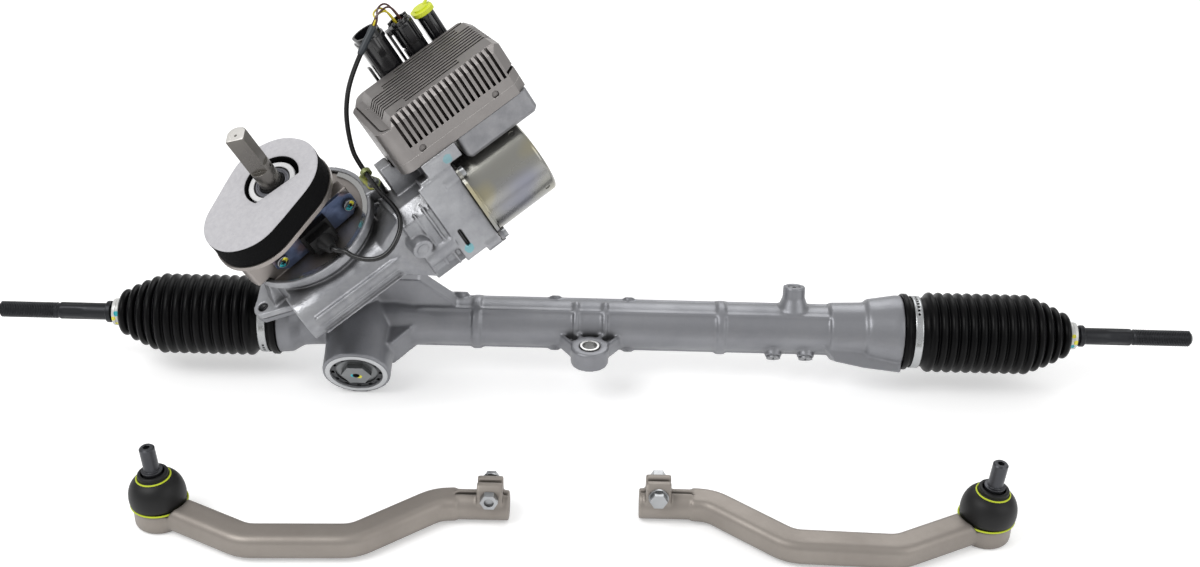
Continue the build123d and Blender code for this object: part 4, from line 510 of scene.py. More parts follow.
class Effects:
    """The shared surface effects, each a node group that is built once."""

    made: dict[str, bpy.types.NodeTree] = {}

    @classmethod
    def group(cls, name: str, inputs: dict[str, object],
        outputs: dict[str, str]) -> tuple[bpy.types.NodeTree, bool]:
        """The node group of that name, new or made earlier.

        Args:
            name: the group's name.
            inputs: input names with their usual values.
            outputs: output names with their kinds.

        Returns:
            The group, and whether it still has to be filled.
        """
        if name in cls.made:
            return cls.made[name], False
        tree = bpy.data.node_groups.new(name, "ShaderNodeTree")
        for label, value in inputs.items():
            kind = "NodeSocketVector" if isinstance(value, tuple) else "NodeSocketFloat"
            socket = tree.interface.new_socket(label, in_out="INPUT", socket_type=kind)
            socket.default_value = value
        for label, kind in outputs.items():
            tree.interface.new_socket(label, in_out="OUTPUT", socket_type=kind)
        cls.made[name] = tree
        return tree, True

    @classmethod
    def edge_wear(cls) -> bpy.types.NodeTree:
        """Finds convex and concave edges with a bevel normal, broken up by noise, for edge wear and painted
        edge highlights.

        Returns:
            A group with a Mask and the rounded Normal.
        """
        tree, fresh = cls.group(
            "edge_wear",
            {"Radius": 0.0008, "Gain": 6.0, "Breakup": 0.5, "Scale": 260.0},
            {"Mask": "NodeSocketFloat", "Normal": "NodeSocketVector"},
        )
        if fresh:
            t = Tree(tree)
            given = t.add("NodeGroupInput").outputs
            bevel = t.add("Bevel", {"Radius": given["Radius"]}, samples=4)
            surface = t.add("NewGeometry")
            dot = t.add("VectorMath", {0: bevel.outputs[0], 1: surface.outputs["Normal"]},
                operation="DOT_PRODUCT")
            turned = t.sum("MULTIPLY", t.sum("SUBTRACT", 1.0, dot.outputs["Value"]), given["Gain"])
            place = t.add("TexCoord").outputs["Object"]
            breakup = t.add("TexNoise", {"Vector": place, "Scale": given["Scale"], "Detail": 3.0})
            loss = t.sum("MULTIPLY", breakup.outputs[0], given["Breakup"])
            end = t.add("NodeGroupOutput")
            t.feed(t.sum("SUBTRACT", turned, loss, clamp=True), end.inputs["Mask"])
            t.feed(bevel.outputs[0], end.inputs["Normal"])
        return tree

    @classmethod
    def grain(cls) -> bpy.types.NodeTree:
        """The fine skin of cast, moulded or blasted surfaces.

        Returns:
            A group with a Height and a slow Tone.
        """
        tree, fresh = cls.group(
            "grain",
            {"Scale": 700.0, "Pits": 0.4, "Patch Scale": 22.0, "Waves": 0.0},
            {"Height": "NodeSocketFloat", "Tone": "NodeSocketFloat"},
        )
        if fresh:
            t = Tree(tree)
            given = t.add("NodeGroupInput").outputs
            place = t.add("TexCoord").outputs["Object"]
            fine = t.add("TexNoise", {"Vector": place, "Scale": given["Scale"], "Detail": 2.0})
            pits = t.add("TexVoronoi", {"Vector": place, "Scale": given["Scale"]}, feature="SMOOTH_F1")
            dents = t.sum("MULTIPLY", t.sum("SUBTRACT", 0.6, pits.outputs[0]), given["Pits"])
            slow = t.add("TexNoise", {"Vector": place, "Scale": given["Patch Scale"], "Detail": 5.0,
                "Roughness": 0.6})
            swell = t.add("TexNoise", {"Vector": place, "Scale": 85.0, "Detail": 1.0, "Distortion": 0.4})
            rise = t.sum("MULTIPLY", swell.outputs[0], given["Waves"])
            end = t.add("NodeGroupOutput")
            t.feed(t.sum("ADD", t.sum("SUBTRACT", fine.outputs[0], dents), rise), end.inputs["Height"])
            t.feed(t.spread(slow.outputs[0], 0.3, 0.7), end.inputs["Tone"])
        return tree

    @classmethod
    def grime(cls) -> bpy.types.NodeTree:
        """Painted shade: darkens corners and recesses by ambient occlusion, broken up by noise.

        Returns:
            A group with a Mask.
        """
        tree, fresh = cls.group(
            "grime",
            {"Distance": 0.012, "Amount": 0.6, "Scale": 60.0},
            {"Mask": "NodeSocketFloat"},
        )
        if fresh:
            t = Tree(tree)
            given = t.add("NodeGroupInput").outputs
            # Painted shade: the occlusion mask darkens corners where shade falls.
            shade = t.add("AmbientOcclusion", {"Distance": given["Distance"]}, samples=4)
            place = t.add("TexCoord").outputs["Object"]
            patchy = t.add("TexNoise", {"Vector": place, "Scale": given["Scale"], "Detail": 4.0})
            corner = t.sum("SUBTRACT", 1.0, shade.outputs["AO"])
            share = t.sum("MULTIPLY", corner, t.sum("ADD", patchy.outputs[0], 0.4))
            end = t.add("NodeGroupOutput")
            t.feed(t.sum("MULTIPLY", share, given["Amount"], clamp=True), end.inputs["Mask"])
        return tree

    @classmethod
    def dab(cls) -> bpy.types.NodeTree:
        """A ragged dab of inspection paint round a point.

        Returns:
            A group with a Mask.
        """
        tree, fresh = cls.group(
            "paint_dab",
            {"Centre": (0.0, 0.0, 0.0), "Radius": 0.003, "Ragged": 0.6},
            {"Mask": "NodeSocketFloat"},
        )
        if fresh:
            t = Tree(tree)
            given = t.add("NodeGroupInput").outputs
            place = t.add("TexCoord").outputs["Object"]
            far = t.add("VectorMath", {0: place, 1: given["Centre"]}, operation="DISTANCE")
            wobble = t.add("TexNoise", {"Vector": place, "Scale": 420.0, "Detail": 3.0})
            push = t.sum("MULTIPLY", t.sum("SUBTRACT", wobble.outputs[0], 0.5), given["Ragged"])
            share = t.sum("ADD", t.sum("DIVIDE", far.outputs["Value"], given["Radius"]), push)
            end = t.add("NodeGroupOutput")
            t.feed(t.spread(share, 0.85, 1.0, 1.0, 0.0), end.inputs["Mask"])
        return tree

    @classmethod
    def tool_lines(cls) -> bpy.types.NodeTree:
        """Fine parallel lines that a lathe or a brush leaves.

        Returns:
            A group with a Height.
        """
        tree, fresh = cls.group(
            "tool_lines",
            {"Direction": (1.0, 0.0, 0.0), "Pitch": 0.0004},
            {"Height": "NodeSocketFloat"},
        )
        if fresh:
            t = Tree(tree)
            given = t.add("NodeGroupInput").outputs
            place = t.add("TexCoord").outputs["Object"]
            along = t.add("VectorMath", {0: place, 1: given["Direction"]}, operation="DOT_PRODUCT")
            step = t.sum("DIVIDE", along.outputs["Value"], given["Pitch"])
            lines = t.add("TexNoise", {"W": step, "Scale": 1.0, "Detail": 1.0}, noise_dimensions="1D")
            end = t.add("NodeGroupOutput")
            t.feed(lines.outputs[0], end.inputs["Height"])
        return tree


@dataclass(frozen=True)
class Dab:
    """One dab of inspection paint."""

    centre: tuple[float, float, float]
    radius: float
    colour: Colour
    cover: float = 1.0


@dataclass(frozen=True)
class Finish:
    """A surface finish: colours, gloss, grain, edge wear with painted edge highlights, painted corner shade
    and paint dabs.
    """

    name: str
    base: Colour
    patch: Colour
    metallic: float = 0.0
    roughness: tuple[float, float] = (0.4, 0.55)
    grain_scale: float = 700.0
    grain_depth: float = 0.15
    pits: float = 0.4
    waves: float = 0.0
    patch_scale: float = 22.0
    patch_share: float = 0.6
    # Edge colour: rubbed wear on some finishes, a painted highlight on others; its share, radius in
    # millimetres and colour.
    wear: float = 0.0
    wear_radius: float = 0.8
    wear_colour: Colour = (0.6, 0.6, 0.61)
    # Painted corner shade: its strength, reach in millimetres and colour.
    grime: float = 0.0
    grime_reach: float = 12.0
    grime_colour: Colour = (0.03, 0.028, 0.025)
    lines: Optional[tuple[tuple[float, float, float], float]] = None
    line_depth: float = 0.1
    dabs: tuple[Dab, ...] = ()
    coat: float = 0.0
    sheen: float = 0.0
    specular: float = 0.5
    tints: tuple[tuple[Colour, float, float], ...] = ()

    def effect(self, t: Tree, group: bpy.types.NodeTree, values: dict[str, object]) -> bpy.types.Node:
        """Places a shared effect in the material with its own values.

        Args:
            t: the material's tree.
            group: the effect's node group.
            values: the values of its inputs.

        Returns:
            The group node.
        """
        node = t.add("Group", node_tree=group)
        for name, value in values.items():
            node.inputs[name].default_value = value
        return node

    def material(self) -> bpy.types.Material:
        """Builds the material.

        Returns:
            The finished material.
        """
        made = bpy.data.materials.new(self.name)
        made.use_nodes = True
        t = Tree(made.node_tree)
        shader = made.node_tree.nodes["Principled BSDF"]
        grain = self.effect(
            t,
            Effects.grain(),
            {"Scale": self.grain_scale, "Pits": self.pits, "Patch Scale": self.patch_scale,
                "Waves": self.waves},
        )
        tone = grain.outputs["Tone"]
        colour = t.blend(t.sum("MULTIPLY", tone, self.patch_share), self.base, self.patch)
        for i, (shade, scale, share) in enumerate(self.tints):
            place = t.add("TexCoord").outputs["Object"]
            cloud = t.add("TexNoise", {"Vector": place, "Scale": scale, "Detail": 2.0,
                "Distortion": 0.3 + 0.2 * i})
            colour = t.blend(t.spread(cloud.outputs[0], 0.5, 0.68, 0.0, share), colour, shade)
        rough = t.spread(tone, 0.0, 1.0, self.roughness[0], self.roughness[1])
        normal = None
        # Edges take the edge colour: wear on some finishes, a painted highlight on the gear case and the
        # gaiter crests.
        if self.wear > 0:
            wear = self.effect(
                t,
                Effects.edge_wear(),
                {"Radius": self.wear_radius * MM, "Gain": 5.0, "Breakup": 0.5},
            )
            share = t.sum("MULTIPLY", wear.outputs["Mask"], self.wear)
            colour = t.blend(share, colour, self.wear_colour)
            normal = wear.outputs["Normal"]
        # Painted shade: an occlusion mask darkens corners and recesses towards the shade colour.
        if self.grime > 0:
            corner_shade_node = self.effect(t, Effects.grime(), {"Distance": self.grime_reach * MM, "Amount": self.grime})
            colour = t.blend(corner_shade_node.outputs["Mask"], colour, self.grime_colour)
        for dab in self.dabs:
            spot = self.effect(
                t, Effects.dab(), {"Centre": [c * MM for c in dab.centre], "Radius": dab.radius * MM}
            )
            colour = t.blend(t.sum("MULTIPLY", spot.outputs["Mask"], dab.cover), colour, dab.colour)
        height = grain.outputs["Height"]
        if self.lines:
            cut = self.effect(t, Effects.tool_lines(),
                {"Direction": self.lines[0], "Pitch": self.lines[1] * MM})
            height = t.sum("ADD", height, t.sum("MULTIPLY", cut.outputs["Height"],
                self.line_depth / max(self.grain_depth, 0.01)))
        bump = t.add("Bump", {"Height": height})
        bump.inputs["Strength"].default_value = self.grain_depth
        bump.inputs["Distance"].default_value = 0.0004
        if normal is not None:
            t.feed(normal, bump.inputs["Normal"])
        t.feed(colour, shader.inputs["Base Color"])
        t.feed(rough, shader.inputs["Roughness"])
        t.feed(bump.outputs[0], shader.inputs["Normal"])
        shader.inputs["Metallic"].default_value = self.metallic
        shader.inputs["Coat Weight"].default_value = self.coat
        shader.inputs["Coat Roughness"].default_value = 0.12
        shader.inputs["Sheen Weight"].default_value = self.sheen
        shader.inputs["Specular IOR Level"].default_value = self.specular
        return made


CYAN = tint("3fb9c4")
YELLOW = tint("e3dc4a")
NEON = tint("c6d42a")


class Finishes:
    """All the finishes, made into materials on first use."""

    kept: dict[str, bpy.types.Material] = {}

    table: dict[str, Finish] = {
        "cast_housing": Finish(
            "cast_housing", tint("8f9094"), tint("7d7e83"), metallic=0.75, roughness=(0.36, 0.5),
            grain_depth=0.22,
            wear=0.6, wear_radius=0.9, wear_colour=tint("d4d5d8"), grime=0.9, grime_reach=14, grain_scale=700,
            waves=3.0,
            dabs=(Dab((-193.0, 77.0, 47.0), 3.0, CYAN),),
        ),
        # Painted highlight on the edges, from the near-white edge colour, and painted shade in the corners.
        "cast_case": Finish(
            "cast_case", tint("aeafb2"), tint("8b8c91"), metallic=0.75, roughness=(0.32, 0.52),
            grain_depth=0.34,
            wear=0.85, wear_radius=1.0, wear_colour=tint("f0f0f1"), grime=1.2, grime_reach=16,
            grain_scale=620,
            patch_scale=34, patch_share=0.9, pits=0.7, waves=5.0,
            dabs=(Dab((-102.3, -11.3, 117.8), 4.6, CYAN, 0.5), Dab((-119.5, -2.0, 195.4), 4.4, CYAN, 0.35)),
        ),
        "machined_case": Finish(
            "machined_case", tint("a9a29e"), tint("8f8985"), metallic=0.8, roughness=(0.3, 0.45),
            grain_depth=0.12,
            wear=0.5, wear_radius=0.7, wear_colour=tint("dcd9d6"), grime=1.0, grime_reach=14,
        ),
        "unit_alloy": Finish(
            "unit_alloy", tint("969290"), tint("7f7b7a"), metallic=0.72, roughness=(0.34, 0.5),
            grain_depth=0.28,
            wear=0.75, wear_radius=0.6, wear_colour=tint("d8d4d0"), grime=1.5, grime_reach=7, grain_scale=900,
            waves=2.0,
            grime_colour=tint("2a2422"),
        ),
        "terminal_zinc": Finish(
            "terminal_zinc", tint("99999c"), tint("818286"), metallic=0.65, roughness=(0.4, 0.55),
            grain_depth=0.14,
            wear=0.5, wear_radius=0.7, wear_colour=tint("d0cfd3"), grime=0.6, patch_scale=75, patch_share=0.9,
        ),
        "motor_zinc": Finish(
            "motor_zinc", tint("a09f98"), tint("8d8d8b"), metallic=0.95, roughness=(0.2, 0.32),
            grain_depth=0.06,
            wear=0.3, wear_radius=0.6, wear_colour=tint("dedcca"), grime=0.5, patch_scale=12,
            tints=((tint("7d8096"), 13.0, 0.75), (tint("bcb07a"), 17.0, 0.7)),
        ),
        "black_plastic": Finish(
            "black_plastic", tint("1b1b1d"), tint("232326"), roughness=(0.28, 0.4), grain_depth=0.08,
            wear=0.35, wear_radius=0.5, wear_colour=tint("4a4a4e"), grain_scale=1500,
        ),
        "gloss_plastic": Finish(
            "gloss_plastic", tint("141416"), tint("1c1c1f"), roughness=(0.12, 0.22), grain_depth=0.04,
            wear=0.3, wear_radius=0.5, wear_colour=tint("55555a"), grain_scale=1500, coat=0.3,
        ),
        "sheet_blue": Finish(
            "sheet_blue", tint("4d5c7c"), tint("66708a"), metallic=0.6, roughness=(0.26, 0.42),
            grain_depth=0.1,
            wear=0.5, wear_radius=0.4, wear_colour=tint("a3abc0"), grime=0.8, grime_reach=10, grain_scale=600,
            tints=((tint("9a7868"), 55.0, 0.6), (tint("8fa0c8"), 70.0, 0.5)),
        ),
        "black_rubber": Finish(
            "black_rubber", tint("0a0a0b"), tint("111112"), roughness=(0.42, 0.56), grain_depth=0.1,
            grain_scale=1300, specular=0.35,
        ),
        # Painted highlight: the lighter edge colour draws thin light lines on the fold crests.
        "gaiter_rubber": Finish(
            "gaiter_rubber", tint("020203"), tint("050506"), roughness=(0.3, 0.38), grain_depth=0.06,
            grain_scale=1500, specular=0.12, wear=0.6, wear_radius=0.7, wear_colour=tint("505054"),
        ),
        "cable_jacket": Finish(
            "cable_jacket", tint("0c0c0d"), tint("141415"), roughness=(0.22, 0.34), grain_depth=0.05,
            grain_scale=1600,
        ),
        "shrink_sleeve": Finish(
            "shrink_sleeve", tint("2c3136"), tint("363c41"), roughness=(0.4, 0.5), grain_depth=0.12,
            grain_scale=900,
        ),
        "wire_yellow": Finish("wire_yellow", tint("d3c22c"), tint("b9a824"), roughness=(0.35, 0.45),
            grain_depth=0.05),
        "wire_brown": Finish("wire_brown", tint("4a2420"), tint("3a1c1a"), roughness=(0.35, 0.45),
            grain_depth=0.05),
        "cap_yellow": Finish(
            "cap_yellow", tint("d8e234"), tint("cbd62c"), roughness=(0.3, 0.42), grain_depth=0.06, wear=0.3,
            wear_colour=tint("eef28a"), wear_radius=0.6,
        ),
        "clip_green": Finish(
            "clip_green", tint("8f9a62"), tint("a3a879"), metallic=0.5, roughness=(0.3, 0.45),
            grain_depth=0.08,
            wear=0.4, wear_colour=tint("d8dab8"), tints=((tint("c8bf45"), 120.0, 0.7),),
        ),
        "bright_screws": Finish(
            "bright_screws", tint("aeb0b2"), tint("8d8f92"), metallic=0.9, roughness=(0.25, 0.4),
            grain_depth=0.06,
            wear=0.5, wear_radius=0.4, wear_colour=tint("e6e6e6"), grime=1.2, grime_reach=5,
            dabs=(Dab((-236.0, 3.0, 118.0), 3.4, CYAN),),
        ),
        "steel_band": Finish(
            "steel_band", tint("b9bbbc"), tint("9fa1a3"), metallic=0.9, roughness=(0.22, 0.34),
            grain_depth=0.05,
            wear=0.3, wear_radius=0.3, wear_colour=tint("ececec"), grime=0.5, grime_reach=4,
        ),
        "white_clip": Finish(
            "white_clip", tint("d5d5d2"), tint("c2c3c2"), metallic=0.2, roughness=(0.3, 0.4),
            grain_depth=0.05,
        ),
        "black_phosphate": Finish(
            "black_phosphate", tint("2b2c2f"), tint("212225"), metallic=0.65, roughness=(0.34, 0.48),
            grain_depth=0.12, wear=0.35, wear_radius=0.4, wear_colour=tint("6d6e72"), patch_scale=60,
        ),
        "shaft_steel": Finish(
            "shaft_steel", tint("8a8782"), tint("716e69"), metallic=0.9, roughness=(0.24, 0.36),
            grain_depth=0.05,
            wear=0.4, wear_radius=0.4, wear_colour=tint("c6c3be"), line_depth=0.12,
            lines=((-0.3305, -0.3794, 0.8642), 0.35),
        ),
        "shaft_end": Finish(
            "shaft_end", tint("e6e4e0"), tint("d2cfca"), metallic=0.5, roughness=(0.3, 0.42),
            grain_depth=0.05,
        ),
        "white_ring": Finish(
            "white_ring", tint("e9e9ea"), tint("d9d9db"), metallic=0.1, roughness=(0.35, 0.45),
            grain_depth=0.04,
        ),
        "seal_grey": Finish(
            "seal_grey", tint("7d7e84"), tint("626369"), metallic=0.8, roughness=(0.3, 0.4), grain_depth=0.05,
            wear=0.5, wear_radius=0.3, wear_colour=tint("c9cace"),
        ),
        "polished_lip": Finish(
            "polished_lip", tint("c9cacc"), tint("aeb0b2"), metallic=0.85, roughness=(0.22, 0.34),
            grain_depth=0.06,
            wear=0.4, wear_radius=0.4, wear_colour=tint("f0f0f0"), grime=0.6, grime_reach=4,
        ),
        "bright_steel": Finish(
            "bright_steel", tint("c4c4c3"), tint("a9a9a8"), metallic=0.95, roughness=(0.18, 0.3),
            grain_depth=0.05,
            wear=0.3, wear_radius=0.4, wear_colour=tint("efefef"),
        ),
        "dark_steel": Finish(
            "dark_steel", tint("4d4e50"), tint("3c3d3f"), metallic=0.85, roughness=(0.3, 0.42),
            grain_depth=0.08,
            wear=0.5, wear_radius=0.5, wear_colour=tint("a2a3a5"), grime=0.6, grime_reach=6,
        ),
        "yoke_metal": Finish(
            "yoke_metal", tint("8b8d8e"), tint("707274"), metallic=0.85, roughness=(0.28, 0.42),
            grain_depth=0.06,
            wear=0.5, wear_radius=0.5, wear_colour=tint("cfd0d2"), grime=0.8, grime_reach=6,
            dabs=(Dab((-202.0, -15.2, -12.6), 3.0, YELLOW), Dab((-207.2, -15.4, -11.4), 2.6, CYAN)),
        ),
        "forged_grey": Finish(
            "forged_grey", tint("99928b"), tint("87807a"), metallic=0.6, roughness=(0.42, 0.56),
            grain_depth=0.2,
            wear=0.4, wear_radius=1.2, wear_colour=tint("bcb6af"), grime=0.5, grime_reach=10, patch_scale=18,
        ),
        "stud_steel": Finish(
            "stud_steel", tint("4b4c50"), tint("3d3e41"), metallic=0.8, roughness=(0.3, 0.42),
            grain_depth=0.06,
            wear=0.5, wear_radius=0.5, wear_colour=tint("9b9ca0"), lines=((0.0, 0.0, 1.0), 0.3),
            line_depth=0.1,
        ),
        "ring_yellow": Finish("ring_yellow", NEON, tint("b8c626"), roughness=(0.3, 0.4), grain_depth=0.05),
        "plug_grey": Finish(
            "plug_grey", tint("8e8f92"), tint("7b7c80"), metallic=0.7, roughness=(0.35, 0.48),
            grain_depth=0.1,
            wear=0.4, wear_radius=0.5, wear_colour=tint("c3c4c6"), grime=0.6, grime_reach=5,
        ),
        # Pale grey finish for the top face of the foam seal.
        "foam_skin": Finish(
            "foam_skin", tint("c3c2c5"), tint("b4b3b7"), roughness=(0.75, 0.9), grain_depth=0.5,
            grain_scale=1100,
            pits=0.9, patch_scale=260, patch_share=0.8, specular=0.2,
        ),
        "foam_black": Finish(
            "foam_black", tint("0d0d0e"), tint("141415"), roughness=(0.85, 0.95), grain_depth=0.6,
            grain_scale=1000,
            pits=1.0, specular=0.12,
        ),
        "polymer_grey": Finish(
            "polymer_grey", tint("8a8b8c"), tint("797a7b"), roughness=(0.4, 0.5), grain_depth=0.08,
        ),
        "lamination": Finish(
            "lamination", tint("6e6e70"), tint("5b5b5d"), metallic=0.8, roughness=(0.35, 0.5),
            grain_depth=0.08,
            lines=((0.7731, 0.4164, 0.4785), 0.5), line_depth=0.3,
        ),
        "board_green": Finish("board_green", tint("1f4a35"), tint("17382a"), roughness=(0.3, 0.4),
            grain_depth=0.05),
    }

    dressing: dict[str, str] = {
        "ball_seats": "polymer_grey", "ball_stud_left": "stud_steel", "ball_stud_right": "stud_steel",
        "bellows_clamps": "steel_band", "bellows_left": "gaiter_rubber", "bellows_right": "gaiter_rubber",
        "boot_rings": "ring_yellow", "cable_clip": "clip_green", "cable_plug": "gloss_plastic",
        "case_ring": "bright_steel", "case_screws": "bright_screws", "centre_bush": "bright_steel",
        "foam_gasket": "foam_black", "gasket_plate": "machined_case", "gear_case": "cast_case",
        "housing_plugs": "plug_grey", "inner_sockets": "black_phosphate", "input_shaft": "shaft_steel",
        "input_shaft_rings": "dark_steel", "motor_can": "motor_zinc", "motor_shaft": "bright_steel",
        "outer_bearings": "bright_steel", "outer_ends": "forged_grey", "pinch_bolts": "bright_screws",
        "pinion_shaft": "bright_steel", "pinion_shaft_rings": "bright_steel", "power_socket": "gloss_plastic",
        "rack_bar": "bright_steel", "rack_bush": "polymer_grey", "rack_housing": "cast_housing",
        "rack_stops": "dark_steel", "rotor": "lamination", "rubber_seals": "black_rubber",
        "sensor_boot": "black_rubber", "sensor_cable": "cable_jacket", "sensor_coil": "black_plastic",
        "sensor_housing": "machined_case", "sensor_plate": "sheet_blue", "sensor_wires": "wire_yellow",
        "signal_socket": "black_plastic", "socket_cap": "cap_yellow", "spare_socket": "gloss_plastic",
        "stator": "lamination", "stud_boots": "black_rubber", "terminal_box": "terminal_zinc",
        "tie_rod_left": "black_phosphate", "tie_rod_right": "black_phosphate", "torsion_bar": "bright_steel",
        "unit_base": "unit_alloy", "unit_board": "board_green", "unit_cover": "unit_alloy",
        "worm": "bright_steel", "worm_shaft_rings": "bright_steel", "worm_wheel_hub": "dark_steel",
        "worm_wheel_rim": "polymer_grey", "yoke": "yoke_metal", "yoke_lock_ring": "dark_steel",
        "yoke_plug": "yoke_metal", "yoke_spring": "bright_steel",
    }

    @classmethod
    def get(cls, name: str) -> bpy.types.Material:
        """The material of a finish.

        Args:
            name: the finish's name in the table.

        Returns:
            Its material.
        """
        if name not in cls.kept:
            cls.kept[name] = cls.table[name].material()
        return cls.kept[name]

    @classmethod
    def put(cls, piece: bpy.types.Object, name: str) -> bpy.types.Object:
        """Gives a piece one finish all over.

        Args:
            piece: the object.
            name: the finish's name.

        Returns:
            The same object.
        """
        piece.data.materials.clear()
        piece.data.materials.append(cls.get(name))
        return piece

    @classmethod
    def dress_nodes(cls) -> int:
        """Gives every carried-over CAD node its finish.

        Returns:
            How many nodes were dressed.
        """
        for node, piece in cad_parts.items():
            cls.put(piece, cls.dressing[node])
        return len(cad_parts)


@dataclass
class Studio:
    """Floor, soft light and the camera at the photograph's place."""

    pitch_deg: float = 30.0
    roll_deg: float = 1.447
    place: tuple[float, float, float] = (7.66, -1108.93, 720.54)
    focal_px: float = 1495.0
    width_px: float = 1200.0
    floor_half: float = 6.0

    def camera(self) -> bpy.types.Object:
        """Sets up the camera.

        Returns:
            The camera object.
        """
        pitch, roll = math.radians(self.pitch_deg), math.radians(self.roll_deg)
        up0 = Vector((0, math.sin(pitch), math.cos(pitch)))
        right = Vector((1, 0, 0)) * math.cos(roll) + up0 * math.sin(roll)
        up = up0 * math.cos(roll) - Vector((1, 0, 0)) * math.sin(roll)
        ahead = Vector((0, math.cos(pitch), -math.sin(pitch)))
        data = bpy.data.cameras.new("studio_camera")
        data.sensor_fit = "HORIZONTAL"
        data.sensor_width = 36.0
        data.lens = self.focal_px * 36.0 / self.width_px
        data.clip_end = 30.0
        camera = bpy.data.objects.new("studio_camera", data)
        bpy.context.scene.collection.objects.link(camera)
        rows = [[right[i], up[i], -ahead[i], self.place[i] * MM] for i in range(3)]
        camera.matrix_world = Matrix(rows + [[0, 0, 0, 1]])
        bpy.context.scene.camera = camera
        return camera

    def seen(self, t: Tree) -> bpy.types.NodeSocket:
        """One for rays that see the background: from the camera, a mirror or glass.

        Args:
            t: the tree of the floor or the world.

        Returns:
            The share's socket.
        """
        rays = t.add("LightPath").outputs
        gloss = t.sum("MAXIMUM", rays["Is Glossy Ray"], rays["Is Transmission Ray"])
        return t.sum("MAXIMUM", rays["Is Camera Ray"], gloss)

    def floor(self) -> bpy.types.Object:
        """A pale floor that stays white in the picture and keeps the shadow.

        Returns:
            The floor object.
        """
        mesh = bmesh.new()
        size = self.floor_half
        corners = [(-size, -size), (size, -size), (size, size), (-size, size)]
        mesh.faces.new([mesh.verts.new((x, y, LAYOUT.floor_z * MM)) for x, y in corners])
        data = bpy.data.meshes.new("studio_floor")
        mesh.to_mesh(data)
        mesh.free()
        floor = bpy.data.objects.new("studio_floor", data)
        bpy.context.scene.collection.objects.link(floor)
        made = bpy.data.materials.new("studio_floor")
        made.use_nodes = True
        t = Tree(made.node_tree)
        shader = made.node_tree.nodes["Principled BSDF"]
        place = t.add("TexCoord").outputs["Object"]
        mottle = t.add("TexNoise", {"Vector": place, "Scale": 3.0, "Detail": 2.0})
        t.feed(t.blend(mottle.outputs[0], (0.86, 0.86, 0.86), (0.88, 0.88, 0.88)),
            shader.inputs["Base Color"])
        shader.inputs["Roughness"].default_value = 0.9
        shader.inputs["Specular IOR Level"].default_value = 0.0
        t.feed(t.sum("MULTIPLY", self.seen(t), 0.34), shader.inputs["Emission Strength"])
        shader.inputs["Emission Color"].default_value = (1, 1, 1, 1)
        data.materials.append(made)
        return floor

    def world(self) -> None:
        """White to the camera, a plain soft dome to everything else."""
        world = bpy.data.worlds.new("studio_world")
        world.use_nodes = True
        t = Tree(world.node_tree)
        dome = world.node_tree.nodes["Background"]
        dome.inputs[0].default_value = (1, 1, 1, 1)
        rays = t.add("LightPath").outputs
        level = t.spread(rays["Is Camera Ray"], 0.0, 1.0, 0.62, 1.0)
        t.feed(level, dome.inputs[1])
        bpy.context.scene.world = world

    def lamp(self, name: str, place: Point, size: float, power: float,
        target: Point = (-0.05, 0.0, 0.05)) -> None:
        """A soft square lamp.

        Args:
            name: the lamp's name.
            place: where it stands, in metres.
            size: its side, in metres.
            power: its power in watts.
            target: the point that it faces.
        """
        data = bpy.data.lights.new(name, "AREA")
        data.shape = "SQUARE"
        data.size = size
        data.energy = power
        lamp = bpy.data.objects.new(name, data)
        bpy.context.scene.collection.objects.link(lamp)
        lamp.location = place
        way = Vector(target) - Vector(place)
        lamp.rotation_euler = way.to_track_quat("-Z", "Y").to_euler()

    def build(self) -> None:
        """Builds the whole studio."""
        self.camera()
        self.floor()
        self.world()
        self.lamp("key_lamp", (-1.1, -0.7, 1.6), 1.0, 17.0)
        self.lamp("fill_lamp", (1.5, -0.9, 1.0), 1.2, 7.0)
        self.lamp("back_lamp", (0.3, 1.4, 1.3), 1.2, 9.0)
        bpy.context.scene.view_settings.view_transform = "Standard"


@dataclass
class Castings:
    """Softened copies of the cast and forged pieces, with rounded corners."""

    voxels: dict[str, tuple[float, int]] = field(
        default_factory=lambda: {
            "rack_housing": (1.15, 7),
            "gear_case": (0.9, 6),
            "sensor_housing": (0.7, 3),
            "terminal_box": (0.7, 4),
            "outer_ends": (0.9, 9),
        }
    )

    def build(self) -> list[bpy.types.Object]:
        """Makes every softened casting.

        Returns:
            The new pieces.
        """
        made = []
        for node, (voxel, rounds) in self.voxels.items():
            piece = Form.soft_copy("soft_" + node, node, voxel, rounds)
            Finishes.put(piece, Finishes.dressing[node])
            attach(piece, Body.HOUSING.value)
            LOG.info("%s: %d faces", piece.name, len(piece.data.polygons))
            made.append(piece)
        return made


